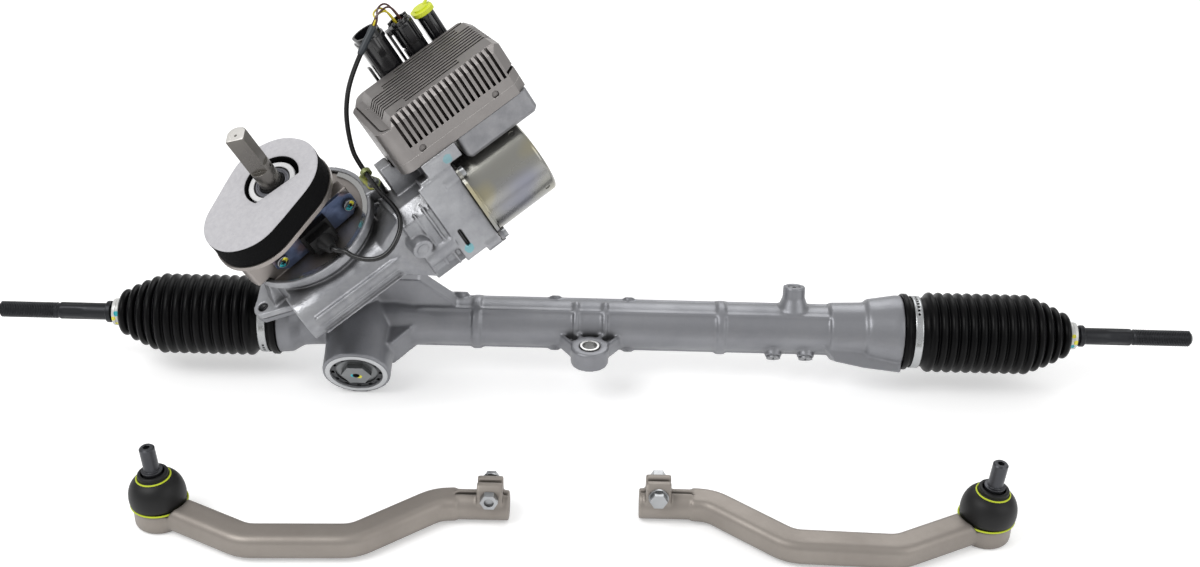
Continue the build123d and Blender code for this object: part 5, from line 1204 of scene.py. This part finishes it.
@dataclass
class Gaiter:
    """One bellows with its two clamps, between the housing and the tie rod."""

    side: Side
    end: float
    join: float
    first: float = 300.0
    lip: float = 279.0
    crest_r: float = 36.0
    depth: float = 4.4
    pitch: float = 8.7
    wall: float = 1.4
    cuff_r: float = 31.0
    lip_r: float = 34.3
    neck_r: float = 11.0
    shrink: tuple[float, ...] = (1.0, 0.92, 0.82, 0.71, 0.58)
    per_fold: int = 14

    def outer_line(self) -> list[Point]:
        """The outside of the gaiter from the lip to the neck.

        Returns:
            Corners as radius and distance from the middle.
        """
        line = [(self.lip_r - 0.6, self.lip), (self.lip_r, self.lip + 0.6), (self.lip_r, self.lip + 4.4)]
        line += [(self.lip_r - 0.8, self.lip + 5.2), (self.cuff_r, self.lip + 5.8),
            (self.cuff_r, self.first - 2.0)]
        last = self.end - 9
        folds = int(round((last - self.first) / self.pitch))
        step = (last - self.first) / folds
        for k in range(folds):
            left = k - (folds - 5)
            scale = self.shrink[left] if left >= 0 else 1.0
            before = self.shrink[max(left - 1, 0)] if left >= 0 else 1.0
            after = self.shrink[min(left + 1, 4)] if left + 1 >= 0 else 1.0
            peak = self.crest_r * scale
            for i in range(self.per_fold):
                t = (i + 0.5) / self.per_fold
                foot = self.crest_r * (min(scale, before) if t < 0.5 else min(scale, after)) - self.depth
                rise = math.sin(math.pi * t) ** 0.62
                line.append((foot + (peak - foot) * rise, self.first + (k + t) * step))
        line += [(self.neck_r + 5.5, last - 0.6), (self.neck_r + 1.2, last + 0.3), (self.neck_r, last + 1.2)]
        line += [(self.neck_r, self.end - 1.6), (self.neck_r - 0.5, self.end - 1.0)]
        return line

    def shell(self, name: str, low: float, high: float) -> bpy.types.Object:
        """A length of the gaiter's wall.

        Args:
            name: the object's name.
            low: where it starts, from the middle.
            high: where it ends.

        Returns:
            The new object.
        """
        line = [p for p in self.outer_line() if low <= p[1] <= high]
        inner = [(max(r - self.wall, 8.1), z) for r, z in line]
        axes = LAYOUT.rack(self.side.value)
        piece = Form.lathe(name, line + inner[::-1], axes, around=112, sharp_deg=75)
        return Finishes.put(piece, "gaiter_rubber")

    def rubber(self) -> None:
        """Makes the two lengths, the folds and the cone, in place of the bellows node."""
        word, way = self.side.word, self.side.value
        inner = self.shell(f"gaiter_{word}_folds", 0, self.join + 0.31)
        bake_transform(inner)
        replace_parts(inner, f"bellows_{word}")
        outer = self.shell(f"gaiter_{word}_cone", self.join - 0.31, 999)
        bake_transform(outer)
        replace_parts(outer, f"bellows_{word}")
        for piece in (inner, outer):
            LOG.info("%s: %d faces", piece.name, len(piece.data.polygons))

    def band(self) -> bpy.types.Object:
        """The steel band on the cuff, with its row of slots and its crimped ear.

        Returns:
            The band's object.
        """
        way = self.side.value
        axes = LAYOUT.rack(way)
        low = self.lip + 8.4
        mesh = bmesh.new()
        count, widths = 150, (0.0, 1.3, 2.6, 4.6, 5.9, 7.2)
        rows = []
        for k in range(count):
            turn = 2 * math.pi * k / count
            rows.append([mesh.verts.new((32.2 * math.cos(turn), 32.2 * math.sin(turn),
                low + w)) for w in widths])
        for k in range(count):
            for j in range(len(widths) - 1):
                if j == 2 and 8 < (k * way) % count < 52 and k % 3 != 0:
                    continue
                a, b = rows[k], rows[(k + 1) % count]
                mesh.faces.new((a[j], b[j], b[j + 1], a[j + 1]))
        for j in (-1, 1):
            self.ear(mesh, low, j)
        piece = Form.finish(f"gaiter_{self.side.word}_band", mesh, axes)
        thick = piece.modifiers.new("thick", "SOLIDIFY")
        thick.thickness = 0.8 * MM
        thick.offset = 0
        Finishes.put(piece, f"band_{self.side.word}")
        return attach(piece, Body.HOUSING.value)

    def ear(self, mesh: bmesh.types.BMesh, low: float, lean: int) -> None:
        """One flank of the band's crimped ear.

        Args:
            mesh: the band's bmesh, in local millimetres.
            low: the band's near rim.
            lean: which flank, as -1 or 1.
        """
        middle = math.radians(-52 if self.side is Side.RIGHT else 232)
        profile = [(5.0, 32.2), (3.2, 32.8), (1.9, 34.6), (2.5, 36.6), (1.6, 37.6), (0.0, 37.9)]
        rows = []
        for across, radius in profile:
            turn = middle + lean * across / radius
            rows.append(
                [mesh.verts.new((radius * math.cos(turn), radius * math.sin(turn),
                    low + w)) for w in (0.6, 3.6, 6.6)]
            )
        for a, b in zip(rows, rows[1:]):
            for j in range(2):
                mesh.faces.new((a[j], b[j], b[j + 1], a[j + 1]))

    def clip(self) -> bpy.types.Object:
        """The pale spring clip on the neck.

        Returns:
            The clip's object.
        """
        low = self.end - 8.2
        line = [(11.05, low), (12.0, low), (12.25, low + 0.5), (12.25, low + 2.6), (11.9, low + 3.0)]
        line += [(12.25, low + 3.4), (12.25, low + 5.8), (12.0, low + 6.3), (11.05, low + 6.3)]
        piece = Form.lathe(f"gaiter_{self.side.word}_clip", line, LAYOUT.rack(self.side.value), around=72)
        Finishes.put(piece, f"clip_{self.side.word}")
        tie = Body.TIE_LEFT if self.side is Side.LEFT else Body.TIE_RIGHT
        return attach(piece, tie.value)

    def paint(self) -> None:
        """The cyan and yellow dabs on the band's ear and the neck clip."""
        axes = LAYOUT.rack(self.side.value)
        turn = math.radians(-52 if self.side is Side.RIGHT else 232)
        ear = [c / MM for c in axes.at(36 * math.cos(turn), 36 * math.sin(turn), self.lip + 12)]
        front = math.radians(180 if self.side is Side.RIGHT else 0)
        marks = []
        for shift, level, radius, colour in ((0.4, 2.0, 2.6, CYAN), (0.0, 5.0, 2.4, YELLOW),
            (-0.5, 2.4, 2.0, YELLOW)):
            a = front + shift
            spot = axes.at(12.2 * math.cos(a), 12.2 * math.sin(a), self.end - 8.2 + level)
            marks.append(Dab(tuple(c / MM for c in spot), radius, colour))
        low = [ear[0] + 2.5 * self.side.value, ear[1], ear[2]]
        for name, source, dabs in (
            (f"band_{self.side.word}", "steel_band",
                (Dab(tuple(ear), 3.4, CYAN), Dab(tuple(low), 2.6, YELLOW))),
            (f"clip_{self.side.word}", "white_clip", tuple(marks)),
        ):
            values = {**Finishes.table[source].__dict__, "name": name, "dabs": dabs}
            Finishes.table[name] = Finish(**values)

    def build(self) -> None:
        """Makes the gaiter and its clamps."""
        self.paint()
        self.rubber()
        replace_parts(self.band(), "bellows_clamps")
        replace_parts(self.clip(), "bellows_clamps")
        LOG.info("gaiter %s: folds, cone, band and clip", self.side.word)


@dataclass
class TieRod:
    """A tie rod with its ball, wrench flats, collar and rolled thread."""

    side: Side
    ball_x: float
    neck_r: float = 6.3
    rod_r: float = 7.6
    thread_r: float = 7.0
    length: float = 147.0
    thread_start: float = 95.0
    pitch: float = 1.5
    depth: float = 0.42

    def rings(self) -> list[list[Point]]:
        """The rod's rings from the ball to the tip.

        Returns:
            Rings of local points.
        """
        count = 60
        turns = [2 * math.pi * i / count for i in range(count)]
        line = [
            (11 * math.sin(a), -11 * math.cos(a))
            for a in [math.pi * (0.04 + 0.76 * i / 14) for i in range(15)]
        ]
        line += [(self.neck_r, 10.5), (self.neck_r, 24), (self.rod_r, 30), (self.rod_r, 45), (9.4, 45.6),
            (9.8, 46.2)]
        line += [(9.8, 49.2), (9.4, 49.8), (self.rod_r, 50.4), (self.rod_r, 69.5)]
        rings = [[(r * math.cos(a), r * math.sin(a), z) for a in turns] for r, z in line]
        for z, sharp in ((71.5, 1.0), (74, 1.0), (87, 1.0), (89.5, 1.0)):
            rings.append([self.hexed(a, z, sharp) for a in turns])
        rings.append([(self.rod_r * math.cos(a), self.rod_r * math.sin(a), 91.5) for a in turns])
        rings.append([(6.4 * math.cos(a), 6.4 * math.sin(a), 93.5) for a in turns])
        steps = int((self.length - 2 - self.thread_start) / self.pitch * 6)
        for k in range(steps + 1):
            z = self.thread_start + k * self.pitch / 6
            rings.append([self.threaded(a, z) for a in turns])
        rings += [[(r * math.cos(a), r * math.sin(a), z) for a in turns] for r,
            z in ((5.6, self.length - 0.9), (4.9, self.length))]
        return rings

    def hexed(self, turn: float, z: float, sharp: float) -> Point:
        """A point on the wrench hexagon.

        Args:
            turn: the angle around the rod, in radians.
            z: the distance along the rod.
            sharp: the radius at this ring, as a share of the full one.

        Returns:
            The point in the rod's own frame.
        """
        apart = (turn % (math.pi / 3)) - math.pi / 6
        radius = min(7.05 / math.cos(apart), self.rod_r) * sharp
        return (radius * math.cos(turn), radius * math.sin(turn), z)

    def threaded(self, turn: float, z: float) -> Point:
        """A point on the thread's flank.

        Args:
            turn: the angle around the rod, in radians.
            z: the distance along the rod.

        Returns:
            The point in the rod's own frame.
        """
        phase = (z / self.pitch - turn / (2 * math.pi)) % 1.0
        wave = abs(phase - 0.5) * 2
        near = min(1.0, (z - self.thread_start) / 2.0, (self.length - 1.5 - z) / 1.5 + 0.2)
        radius = self.thread_r + 0.3 - self.depth * 2 * wave * max(near, 0)
        return (radius * math.cos(turn), radius * math.sin(turn), z)

    def build(self) -> None:
        """Makes the rod in place of the plain node."""
        way = self.side.value
        axes = LAYOUT.rack(way).moved(0, 0, self.ball_x)
        piece = Form.rings(f"threaded_tie_{self.side.word}", self.rings(), axes, sharp_deg=32)
        Finishes.put(piece, "black_phosphate")
        tie = Body.TIE_LEFT if self.side is Side.LEFT else Body.TIE_RIGHT
        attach(piece, tie.value)
        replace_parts(piece, f"tie_rod_{self.side.word}")
        LOG.info("%s: %d faces", piece.name, len(piece.data.polygons))


@dataclass
class SensorHead:
    """The foam bulkhead seal and the lip of the sensor tower."""

    lobes: tuple[Point, ...] = ((1.0, 2.0, 36.0), (-17.0, -33.0, 31.0))
    foam_low: float = 160.0
    foam_top: float = 182.0
    grow: float = 6.0
    hole: Point = (2.0, -1.0)
    hole_r: float = 24.5
    flat: float = 21.0
    lip_flat: float = 12.5
    lip_low: float = 178.4
    flat_way: Point = (0.555, -0.832)
    count: int = 220

    def hole_line(self, grow: float, flat: float) -> list[Point]:
        """The outline of the foam's hole.

        Args:
            grow: how far the line stands outside the hole.
            flat: how far the straight side stands from the hole's centre.

        Returns:
            Points as x and y.
        """
        points = []
        out = Vector(self.flat_way).normalized()
        for i in range(self.count):
            turn = 2 * math.pi * i / self.count
            way = Vector((math.cos(turn), math.sin(turn)))
            share = way.dot(out)
            radius = self.hole_r + grow
            if share > 0.2:
                radius = min(radius, (flat + grow) / share)
            points.append((self.hole[0] + way.x * radius, self.hole[1] + way.y * radius))
        return points

    def foam(self) -> bpy.types.Object:
        """The foam ring, with soft rims and slightly uneven sides; its top face and rims take a pale grey
        finish, the rest black.

        Returns:
            The foam's object.
        """
        rings = []
        levels = [(0.9, self.foam_low), (0.2, self.foam_low + 0.7), (0.0, self.foam_low + 2.5)]
        levels += [(0.35, self.foam_low + 9), (0.45, self.foam_low + 13), (0.0, self.foam_top - 2.6)]
        levels += [(0.1, self.foam_top - 0.8), (0.6, self.foam_top - 0.2), (1.2, self.foam_top)]
        for inset, level in levels:
            circles = [(x, y, r + self.grow - inset) for x, y, r in self.lobes]
            line = Form.outline(circles, self.hole, self.count)
            rings.append([self.uneven(x, y, level) for x, y in line])
        outer = Form.outline([(x, y, r + self.grow - 1.2) for x, y, r in self.lobes], self.hole, self.count)
        inner = self.hole_line(1.0, self.lip_flat)
        for k in range(1, 8):
            t = k / 8
            rings.append([(a[0] + (b[0] - a[0]) * t, a[1] + (b[1] - a[1]) * t, self.foam_top) for a,
                b in zip(outer, inner)])
        for grow, level in ((1.0, self.foam_top), (0.2, self.foam_top - 0.4), (0.0, self.foam_top - 1.4)):
            rings.append([(x, y, level) for x, y in self.hole_line(grow, self.lip_flat)])
        for grow, level, flat in (
            (0.0, self.lip_low + 0.5, self.lip_flat),
            (0.6, self.lip_low, self.lip_flat),
            (0.6, self.lip_low, self.flat),
            (0.3, self.foam_low + 8, self.flat),
            (0.0, self.foam_low + 1, self.flat),
            (0.6, self.foam_low, self.flat),
        ):
            rings.append([self.uneven(x, y, level) for x, y in self.hole_line(grow, flat)])
        piece = Form.rings("foam_seal", rings, LAYOUT.pinion(), loop=True, sharp_deg=60)
        piece.data.materials.append(Finishes.get("foam_black"))
        piece.data.materials.append(Finishes.get("foam_skin"))
        # The rows of the top face and its rims take the pale grey finish, the rest the black one.
        for i, face in enumerate(piece.data.polygons):
            row = i // self.count
            face.material_index = 1 if 6 <= row <= 16 else 0
        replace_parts(piece, "foam_gasket")
        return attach(piece, Body.HOUSING.value)

    def uneven(self, x: float, y: float, z: float) -> Point:
        """A point pushed a little by slow noise.

        Args:
            x: the point's place across the foam.
            y: the point's place along the foam.
            z: the point's height.

        Returns:
            The pushed point.
        """
        push = noise.noise(Vector((x * 0.06, y * 0.06, z * 0.12))) * 0.35
        way = Vector((x - self.hole[0], y - self.hole[1])).normalized()
        return (x + way.x * push, y + way.y * push, z)

    def build(self) -> None:
        """Makes the foam seal."""
        piece = self.foam()
        LOG.info("%s: %d faces", piece.name, len(piece.data.polygons))


@dataclass
class ShaftTrim:
    """The ringed end face of the input shaft, and the rings where it leaves the tower."""

    top: float = 237.0
    neck: float = 177.25
    radius: float = 8.75
    flats: tuple[Point, ...] = ((-90.0, 5.6), (0.0, 7.9), (180.0, 7.9))
    groove: float = 4.9
    around: int = 120

    def face_line(self, inset: float) -> list[Point]:
        """The outline of the shaft's end, a circle cut by its flats.

        Args:
            inset: how far the line stands inside the end's edge.

        Returns:
            Points as x and y.
        """
        points = []
        for i in range(self.around):
            turn = 2 * math.pi * i / self.around
            reach = self.radius - inset
            for angle, depth in self.flats:
                share = math.cos(turn - math.radians(angle))
                if share > 0.1:
                    reach = min(reach, (depth - 0.15 - inset) / share)
            points.append((reach * math.cos(turn), reach * math.sin(turn)))
        return points

    def end_face(self, axes: Axes) -> bpy.types.Object:
        """The bright face on the shaft's end, with its ring groove and centre mark.

        Args:
            axes: the shaft's working frame.

        Returns:
            The face's object.
        """
        rings = []
        for inset, rise in ((0.0, -0.3), (0.0, 0.12), (0.2, 0.25)):
            rings.append([(x, y, self.top + rise) for x, y in self.face_line(inset)])
        round_part = ((self.groove, 0.25), (self.groove - 0.2, 0.03), (self.groove - 0.8, 0.03),
            (self.groove - 1.0, 0.25))
        round_part += ((1.5, 0.25), (1.2, -0.05), (0.2, -0.3))
        for radius, rise in round_part:
            ring = []
            for i in range(self.around):
                turn = 2 * math.pi * i / self.around
                ring.append((radius * math.cos(turn), radius * math.sin(turn), self.top + rise))
            rings.append(ring)
        return Form.rings("shaft_end_face", rings, axes, sharp_deg=40)

    def build(self) -> None:
        """Makes the end face on the shaft and three rings on the tower."""
        axes = LAYOUT.pinion()
        end = self.end_face(axes)
        Finishes.put(end, "shaft_end")
        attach(end, Body.INPUT.value)
        z = self.neck
        rings = {
            "neck_ring": (
                "white_ring",
                [(16.4, z), (16.4, z + 0.6), (16.8, z + 0.9), (20.3, z + 0.9), (20.95, z + 0.4),
                    (20.95, z - 3.8), (20.65, z - 3.8), (20.65, z)],
            ),
            "seal_face": (
                "seal_grey",
                [(11.4, z - 1.2), (11.4, z - 0.3), (12.0, z + 0.1), (12.5, z - 0.4), (13.1, z - 0.4),
                    (13.5, z + 0.3), (14.7, z + 0.3), (15.3, z - 0.2), (15.3, z - 1.2)],
            ),
            "seal_lip": (
                "black_rubber",
                [(9.66, z - 1.2), (9.66, z + 1.7), (10.2, z + 2.1), (10.8, z + 1.2), (11.3, z - 0.5),
                    (11.3, z - 1.2)],
            ),
        }
        for name, (finish, profile) in rings.items():
            piece = Form.lathe(name, profile, axes, around=110)
            Finishes.put(piece, finish)
            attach(piece, Body.HOUSING.value)
            LOG.info("%s: %d faces", name, len(piece.data.polygons))


@dataclass
class PlateScrews:
    """The two star-socket screws of the sensor plate, marked with inspection paint."""

    flat_deg: float = -48.7
    flat_out: float = 26.5
    level: float = 132.5
    apart: float = 36.0
    head_r: float = 5.4

    def axes(self, way: int) -> Axes:
        """A screw's axis, with its origin on the flat.

        Args:
            way: which screw, as -1 or 1.

        Returns:
            The working frame.
        """
        turn = math.radians(self.flat_deg)
        out = Vector((math.cos(turn), math.sin(turn), 0))
        side = Vector((-out.y, out.x, 0))
        pinion = LAYOUT.pinion()
        place = out * self.flat_out + side * way * self.apart
        origin = pinion.at(place.x, place.y, self.level)
        ahead = pinion.at(out.x, out.y, 0) - pinion.at(0, 0, 0)
        across = pinion.at(side.x, side.y, 0) - pinion.at(0, 0, 0)
        return Axes(origin / MM, across.normalized(), ahead.normalized())

    def star(self, turn: float, radius: float) -> float:
        """The radius of the star socket at an angle."""
        return radius * (1.0 + 0.2 * math.cos(6 * turn))

    def build(self) -> None:
        """Makes both heads."""
        turns = [2 * math.pi * i / 72 for i in range(72)]
        r = self.head_r
        outer = [(r, 2.9), (r, 5.4), (r - 0.25, 6.1), (r - 0.9, 6.6), (3.1, 6.75)]
        for way in (-1, 1):
            rings = [[(a * math.cos(t), a * math.sin(t), z) for t in turns] for a, z in outer]
            for a, z in ((2.35, 6.75), (2.3, 4.4), (0.1, 4.2)):
                rings.append([(self.star(t, a) * math.cos(t), self.star(t, a) * math.sin(t),
                    z) for t in turns])
            axes = self.axes(way)
            name = f"plate_screw_{'low' if way < 0 else 'high'}"
            piece = Form.rings(name, rings, axes, sharp_deg=40)
            low, high = axes.at(-2.0, -1.6, 6.6) / MM, axes.at(2.4, 1.4, 6.6) / MM
            dabs = (Dab(tuple(low), 3.0, CYAN), Dab(tuple(high), 2.6, YELLOW))
            values = {**Finishes.table["dark_steel"].__dict__, "name": name, "dabs": dabs}
            Finishes.table[name] = Finish(**values)
            Finishes.put(piece, name)
            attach(piece, Body.HOUSING.value)
        LOG.info("plate screws: 2")


@dataclass
class YokeLip:
    """The turned lip round the yoke plug."""

    inner: float = 22.9
    outer: float = 27.4
    level: float = 60.0

    def build(self) -> None:
        """Makes the lip."""
        z = self.level
        line = [(self.inner, z - 0.6), (self.inner + 0.3, z + 0.5), (self.inner + 1.0, z + 0.9)]
        line += [(self.outer - 0.9, z + 0.9), (self.outer, z + 0.3), (self.outer, z - 0.6)]
        piece = Form.lathe("yoke_lip", line, LAYOUT.yoke(), around=110)
        Finishes.put(piece, "polished_lip")
        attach(piece, Body.HOUSING.value)
        LOG.info("%s: %d faces", piece.name, len(piece.data.polygons))


@dataclass
class PlugTrim:
    """Latches, ribs and the crown of the black connectors on the control unit."""

    power: Point = (138.0, 60.5)
    signal: Point = (167.0, 60.5)
    spare: Point = (189.0, 60.5)

    def slab(self, name: str, m: Point, d: Point, h: Point,
        finish: str = "gloss_plastic") -> bpy.types.Object:
        """A moulded slab with clipped corners and rounded rims.

        Args:
            name: the object's name.
            m: its ends along the motor.
            d: its ends in depth.
            h: its ends in height.
            finish: the finish's name.

        Returns:
            The slab.
        """
        c = min(m[1] - m[0], d[1] - d[0]) * 0.22
        line = [(m[0] + c, d[0]), (m[1] - c, d[0]), (m[1], d[0] + c), (m[1], d[1] - c)]
        line += [(m[1] - c, d[1]), (m[0] + c, d[1]), (m[0], d[1] - c), (m[0], d[0] + c)]
        piece = Form.plate(name, line, h[0], h[1], LAYOUT.unit(), edge=0.35)
        Finishes.put(piece, finish)
        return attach(piece, Body.HOUSING.value)

    def build(self) -> None:
        """Makes every moulded detail."""
        m, d = self.power
        self.slab("power_latch", (m - 15.6, m - 13.2), (d - 5, d + 5), (100, 122))
        self.slab("power_latch_foot", (m - 15.6, m - 11.6), (d - 5, d + 5), (98, 101.5))
        self.slab("power_key", (m - 3.2, m + 3.2), (d - 18.4, d - 15.2), (128, 146))
        m, d = self.signal
        self.slab("plug_lever", (m - 14.6, m - 12.6), (d - 6, d + 6), (103, 136))
        self.slab("plug_lever_head", (m - 14.6, m - 9.6), (d - 6, d + 6), (134.5, 138.5))
        self.slab("plug_rib_left", (m - 8.6, m - 6.8), (d - 14.4, d - 12.4), (105, 138))
        self.slab("plug_rib_right", (m + 6.8, m + 8.6), (d - 14.4, d - 12.4), (105, 138))
        for i, (x, y) in enumerate(((-6, -9.2), (0, -10.6), (6, -9.2), (-8, 0), (8, 0))):
            self.slab(f"plug_crown_{i}", (m + x - 1.5, m + x + 1.5), (d + y - 1.1, d + y + 1.1),
                (140.5, 143.8))
        m, d = self.spare
        for i, x in enumerate((-5.4, 0.0, 5.4)):
            self.slab(f"spare_rib_{i}", (m + x - 0.6, m + x + 0.6), (d - 11.9, d - 10.2), (84, 131))
        LOG.info("connectors: latch, lever, ribs and crown")


@dataclass
class Lead:
    """The sensor lead: jacket, shrink sleeve and four wires up to the plug."""

    radius: float = 2.1
    sleeve_r: float = 2.9
    sleeve_length: float = 26.0
    wire_r: float = 0.85
    flat_deg: float = -48.7
    flat_out: float = 26.5
    level: float = 130.5
    plug: Point = (167.0, 60.5)
    plug_top: float = 139.0
    wires: tuple[Point, ...] = ((-2.5, -4.0), (2.5, -4.0), (-2.5, 4.0), (2.5, 4.0))
    route: tuple[Point, ...] = (
        (-201.9, -37.4, 126.6), (-195.5, -42.4, 124.8), (-183.2, -48.1, 124.6), (-171.4, -49.8, 127.2),
        (-162.6, -47.0, 133.4), (-156.7, -38.5, 143.3), (-155.9, -29.9, 149.8), (-159.3, -20.7, 155.0),
        (-168.2, -8.5, 158.7), (-178.1, 4.2, 160.4), (-192.5, 30.2, 165.0), (-199.1, 34.5, 173.0),
        (-204.8, 39.3, 181.7), (-210.0, 49.3, 204.8), (-208.8, 54.9, 225.2), (-203.5, 55.0, 243.2),
        (-194.1, 56.6, 264.9), (-185.4, 67.5, 281.6),
    )

    def points(self) -> list[Vector]:
        """The control points in metres, from the boot to the top.

        Returns:
            The control points.
        """
        out = Vector((math.cos(math.radians(self.flat_deg)), math.sin(math.radians(self.flat_deg)), 0))
        pinion = LAYOUT.pinion()
        lead = []
        for far in (23.5, 32.5):
            x, y, _ = out * (self.flat_out + far)
            lead.append(pinion.at(x, y, self.level))
        return lead + [Vector(p) * MM for p in self.route]

    def jacket(self) -> bpy.types.Object:
        """The black jacket.

        Returns:
            The jacket's curve.
        """
        piece = Form.curve("sensor_lead", self.points(), self.radius)
        Finishes.put(piece, "cable_jacket")
        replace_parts(piece, "sensor_cable")
        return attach(piece, Body.HOUSING.value)

    def sleeve(self) -> bpy.types.Object:
        """The shrink sleeve over the lead's end.

        Returns:
            The sleeve's object.
        """
        top, below = Vector(self.route[-1]), Vector(self.route[-2])
        way = (top - below).normalized()
        side = way.orthogonal().normalized()
        axes = Axes(top - way * self.sleeve_length, side, way)
        line = [(2.12, 0.0), (2.35, 0.0), (2.6, 1.2)]
        for k in range(9):
            z = 2.0 + k * 2.6
            line.append((self.sleeve_r - 0.12 * math.cos(k * 2.1), z))
        line += [(self.sleeve_r, self.sleeve_length - 0.4), (2.6, self.sleeve_length + 0.2),
            (1.2, self.sleeve_length + 0.2)]
        line += [(1.2, self.sleeve_length - 2)]
        piece = Form.lathe("shrink_sleeve", line, axes, around=40, sharp_deg=50)
        Finishes.put(piece, "shrink_sleeve")
        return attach(piece, Body.HOUSING.value)

    def wire(self, i: int) -> bpy.types.Object:
        """One wire from the sleeve into the plug.

        Args:
            i: which wire.

        Returns:
            The wire's curve.
        """
        top, below = Vector(self.route[-1]), Vector(self.route[-2])
        way = (top - below).normalized()
        corner = Axes(top, way.orthogonal().normalized(), way)
        unit = LAYOUT.unit()
        turn = math.radians(45 + 90 * i)
        x, y = self.wires[i]
        m, d = self.plug
        points = [
            corner.at(1.2 * math.cos(turn), 1.2 * math.sin(turn), -3),
            corner.at(1.6 * math.cos(turn), 1.6 * math.sin(turn), 6),
            unit.at(m + x - 12, d + y * 0.8, self.plug_top + 17 + i),
            unit.at(m + x - 2, d + y, self.plug_top + 17 + i),
            unit.at(m + x, d + y, self.plug_top + 6),
            unit.at(m + x, d + y, self.plug_top - 6),
        ]
        piece = Form.curve(f"sensor_wire_{i}", points, self.wire_r)
        Finishes.put(piece, "wire_yellow" if i % 2 == 0 else "wire_brown")
        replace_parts(piece, "sensor_wires")
        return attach(piece, Body.HOUSING.value)

    def build(self) -> None:
        """Makes the lead, its sleeve and its wires."""
        self.jacket()
        self.sleeve()
        for i in range(len(self.wires)):
            self.wire(i)
        LOG.info("sensor lead: jacket, sleeve and %d wires", len(self.wires))


@dataclass
class OuterEnd:
    """The rubber boot of an outer tie rod end, with its two spring rings."""

    side: Side
    place: Point
    ball_h: float = 14.8
    lean_deg: float = 4.0

    def axes(self, leaning: bool) -> Axes:
        """The boot's axis at the ball's centre.

        Args:
            leaning: follow the stud's lean.

        Returns:
            The working frame.
        """
        lean = math.radians(self.lean_deg * self.side.value) if leaning else 0.0
        up = Vector((math.sin(lean), 0, math.cos(lean)))
        origin = Vector((*self.place, LAYOUT.floor_z + self.ball_h))
        return Axes(origin, Vector((math.cos(lean), 0, -math.sin(lean))), up)

    def boot(self) -> bpy.types.Object:
        """The boot's wall, with two slow creases.

        Returns:
            The boot's object.
        """
        line = [(16.6, 2.7), (20.9, 2.7), (21.2, 3.4), (20.6, 4.0), (20.7, 5.0), (21.5, 5.6),
            (21.9, 7.2), (22.1, 9.5)]
        line += [(22.0, 12.5), (21.6, 15.5), (20.9, 18.2), (19.8, 20.8), (18.3, 23.2), (16.4, 25.2),
            (14.4, 26.6)]
        line += [(13.5, 27.0), (13.2, 27.6), (12.0, 28.2), (11.6, 29.2), (12.1, 30.4), (11.6, 31.6),
            (10.4, 32.0)]
        line += [(8.9, 32.0), (8.9, 28.6), (13.0, 24.6), (17.0, 19.6), (18.9, 13.0), (18.7, 7.0), (16.6, 4.8)]
        smooth = self.rounded(line)
        piece = Form.lathe(f"stud_boot_{self.side.word}", smooth, self.axes(True), around=96, sharp_deg=70)
        Finishes.put(piece, "black_rubber")
        low, high = self.axes(True).at(0, 0, 4), self.axes(True).at(0, 0, 28)
        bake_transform(piece)
        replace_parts(piece, "stud_boots")
        return piece

    def rounded(self, line: Sequence[Point]) -> list[Point]:
        """A closed profile with its corners cut once.

        Args:
            line: the profile's corners.

        Returns:
            Twice as many corners.
        """
        points = []
        for i, here in enumerate(line):
            after = line[(i + 1) % len(line)]
            points.append((here[0] * 0.75 + after[0] * 0.25, here[1] * 0.75 + after[1] * 0.25))
            points.append((here[0] * 0.25 + after[0] * 0.75, here[1] * 0.25 + after[1] * 0.75))
        return points

    def ring(self, name: str, radius: float, level: float, wire: float, body: Body,
        leaning: bool) -> bpy.types.Object:
        """A spring ring of fine coils laid round the boot.

        Args:
            name: the object's name.
            radius: the ring's radius.
            level: its height over the ball's centre.
            wire: the coil's radius.
            body: the body that it rides on.
            leaning: follow the stud's lean.

        Returns:
            The ring's object.
        """
        around, turns = 8, int(2 * math.pi * radius / (wire * 1.1))
        count = turns * 4
        rings = []
        for k in range(count):
            a = 2 * math.pi * k / count
            swell = 1.0 + 0.12 * math.cos(2 * math.pi * k * turns / count)
            ring = []
            for j in range(around):
                b = 2 * math.pi * j / around
                r = radius + wire * swell * math.cos(b)
                ring.append((r * math.cos(a), r * math.sin(a), level + wire * swell * math.sin(b)))
            rings.append(ring)
        piece = Form.rings(name, rings, self.axes(leaning), loop=True, sharp_deg=80)
        Finishes.put(piece, "ring_yellow")
        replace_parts(piece, "boot_rings")
        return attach(piece, body.value)

    def build(self) -> None:
        """Makes the boot and its rings."""
        stud = Body.STUD_LEFT if self.side is Side.LEFT else Body.STUD_RIGHT
        self.boot()
        self.ring(f"boot_ring_low_{self.side.word}", 21.6, 4.1, 0.75, Body.HOUSING, False)
        self.ring(f"boot_ring_high_{self.side.word}", 13.0, 27.6, 0.7, stud, True)
        LOG.info("outer end %s: boot and two rings", self.side.word)


def main() -> None:
    """Builds the studio and dresses every sub-assembly in order."""
    logging.basicConfig(level=logging.INFO, format="%(name)s: %(message)s")
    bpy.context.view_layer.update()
    Studio().build()
    LOG.info("studio: floor, lamps and camera")
    LOG.info("dressed %d CAD nodes", Finishes.dress_nodes())
    Castings().build()
    Gaiter(Side.RIGHT, end=439.0, join=402.0).build()
    Gaiter(Side.LEFT, end=431.0, join=393.0).build()
    TieRod(Side.RIGHT, ball_x=395.0).build()
    TieRod(Side.LEFT, ball_x=386.0).build()
    SensorHead().build()
    ShaftTrim().build()
    PlateScrews().build()
    YokeLip().build()
    PlugTrim().build()
    Lead().build()
    OuterEnd(Side.LEFT, (-332.6, -184.8)).build()
    OuterEnd(Side.RIGHT, (316.0, -178.0)).build()


if __name__ == "__main__":
    main()
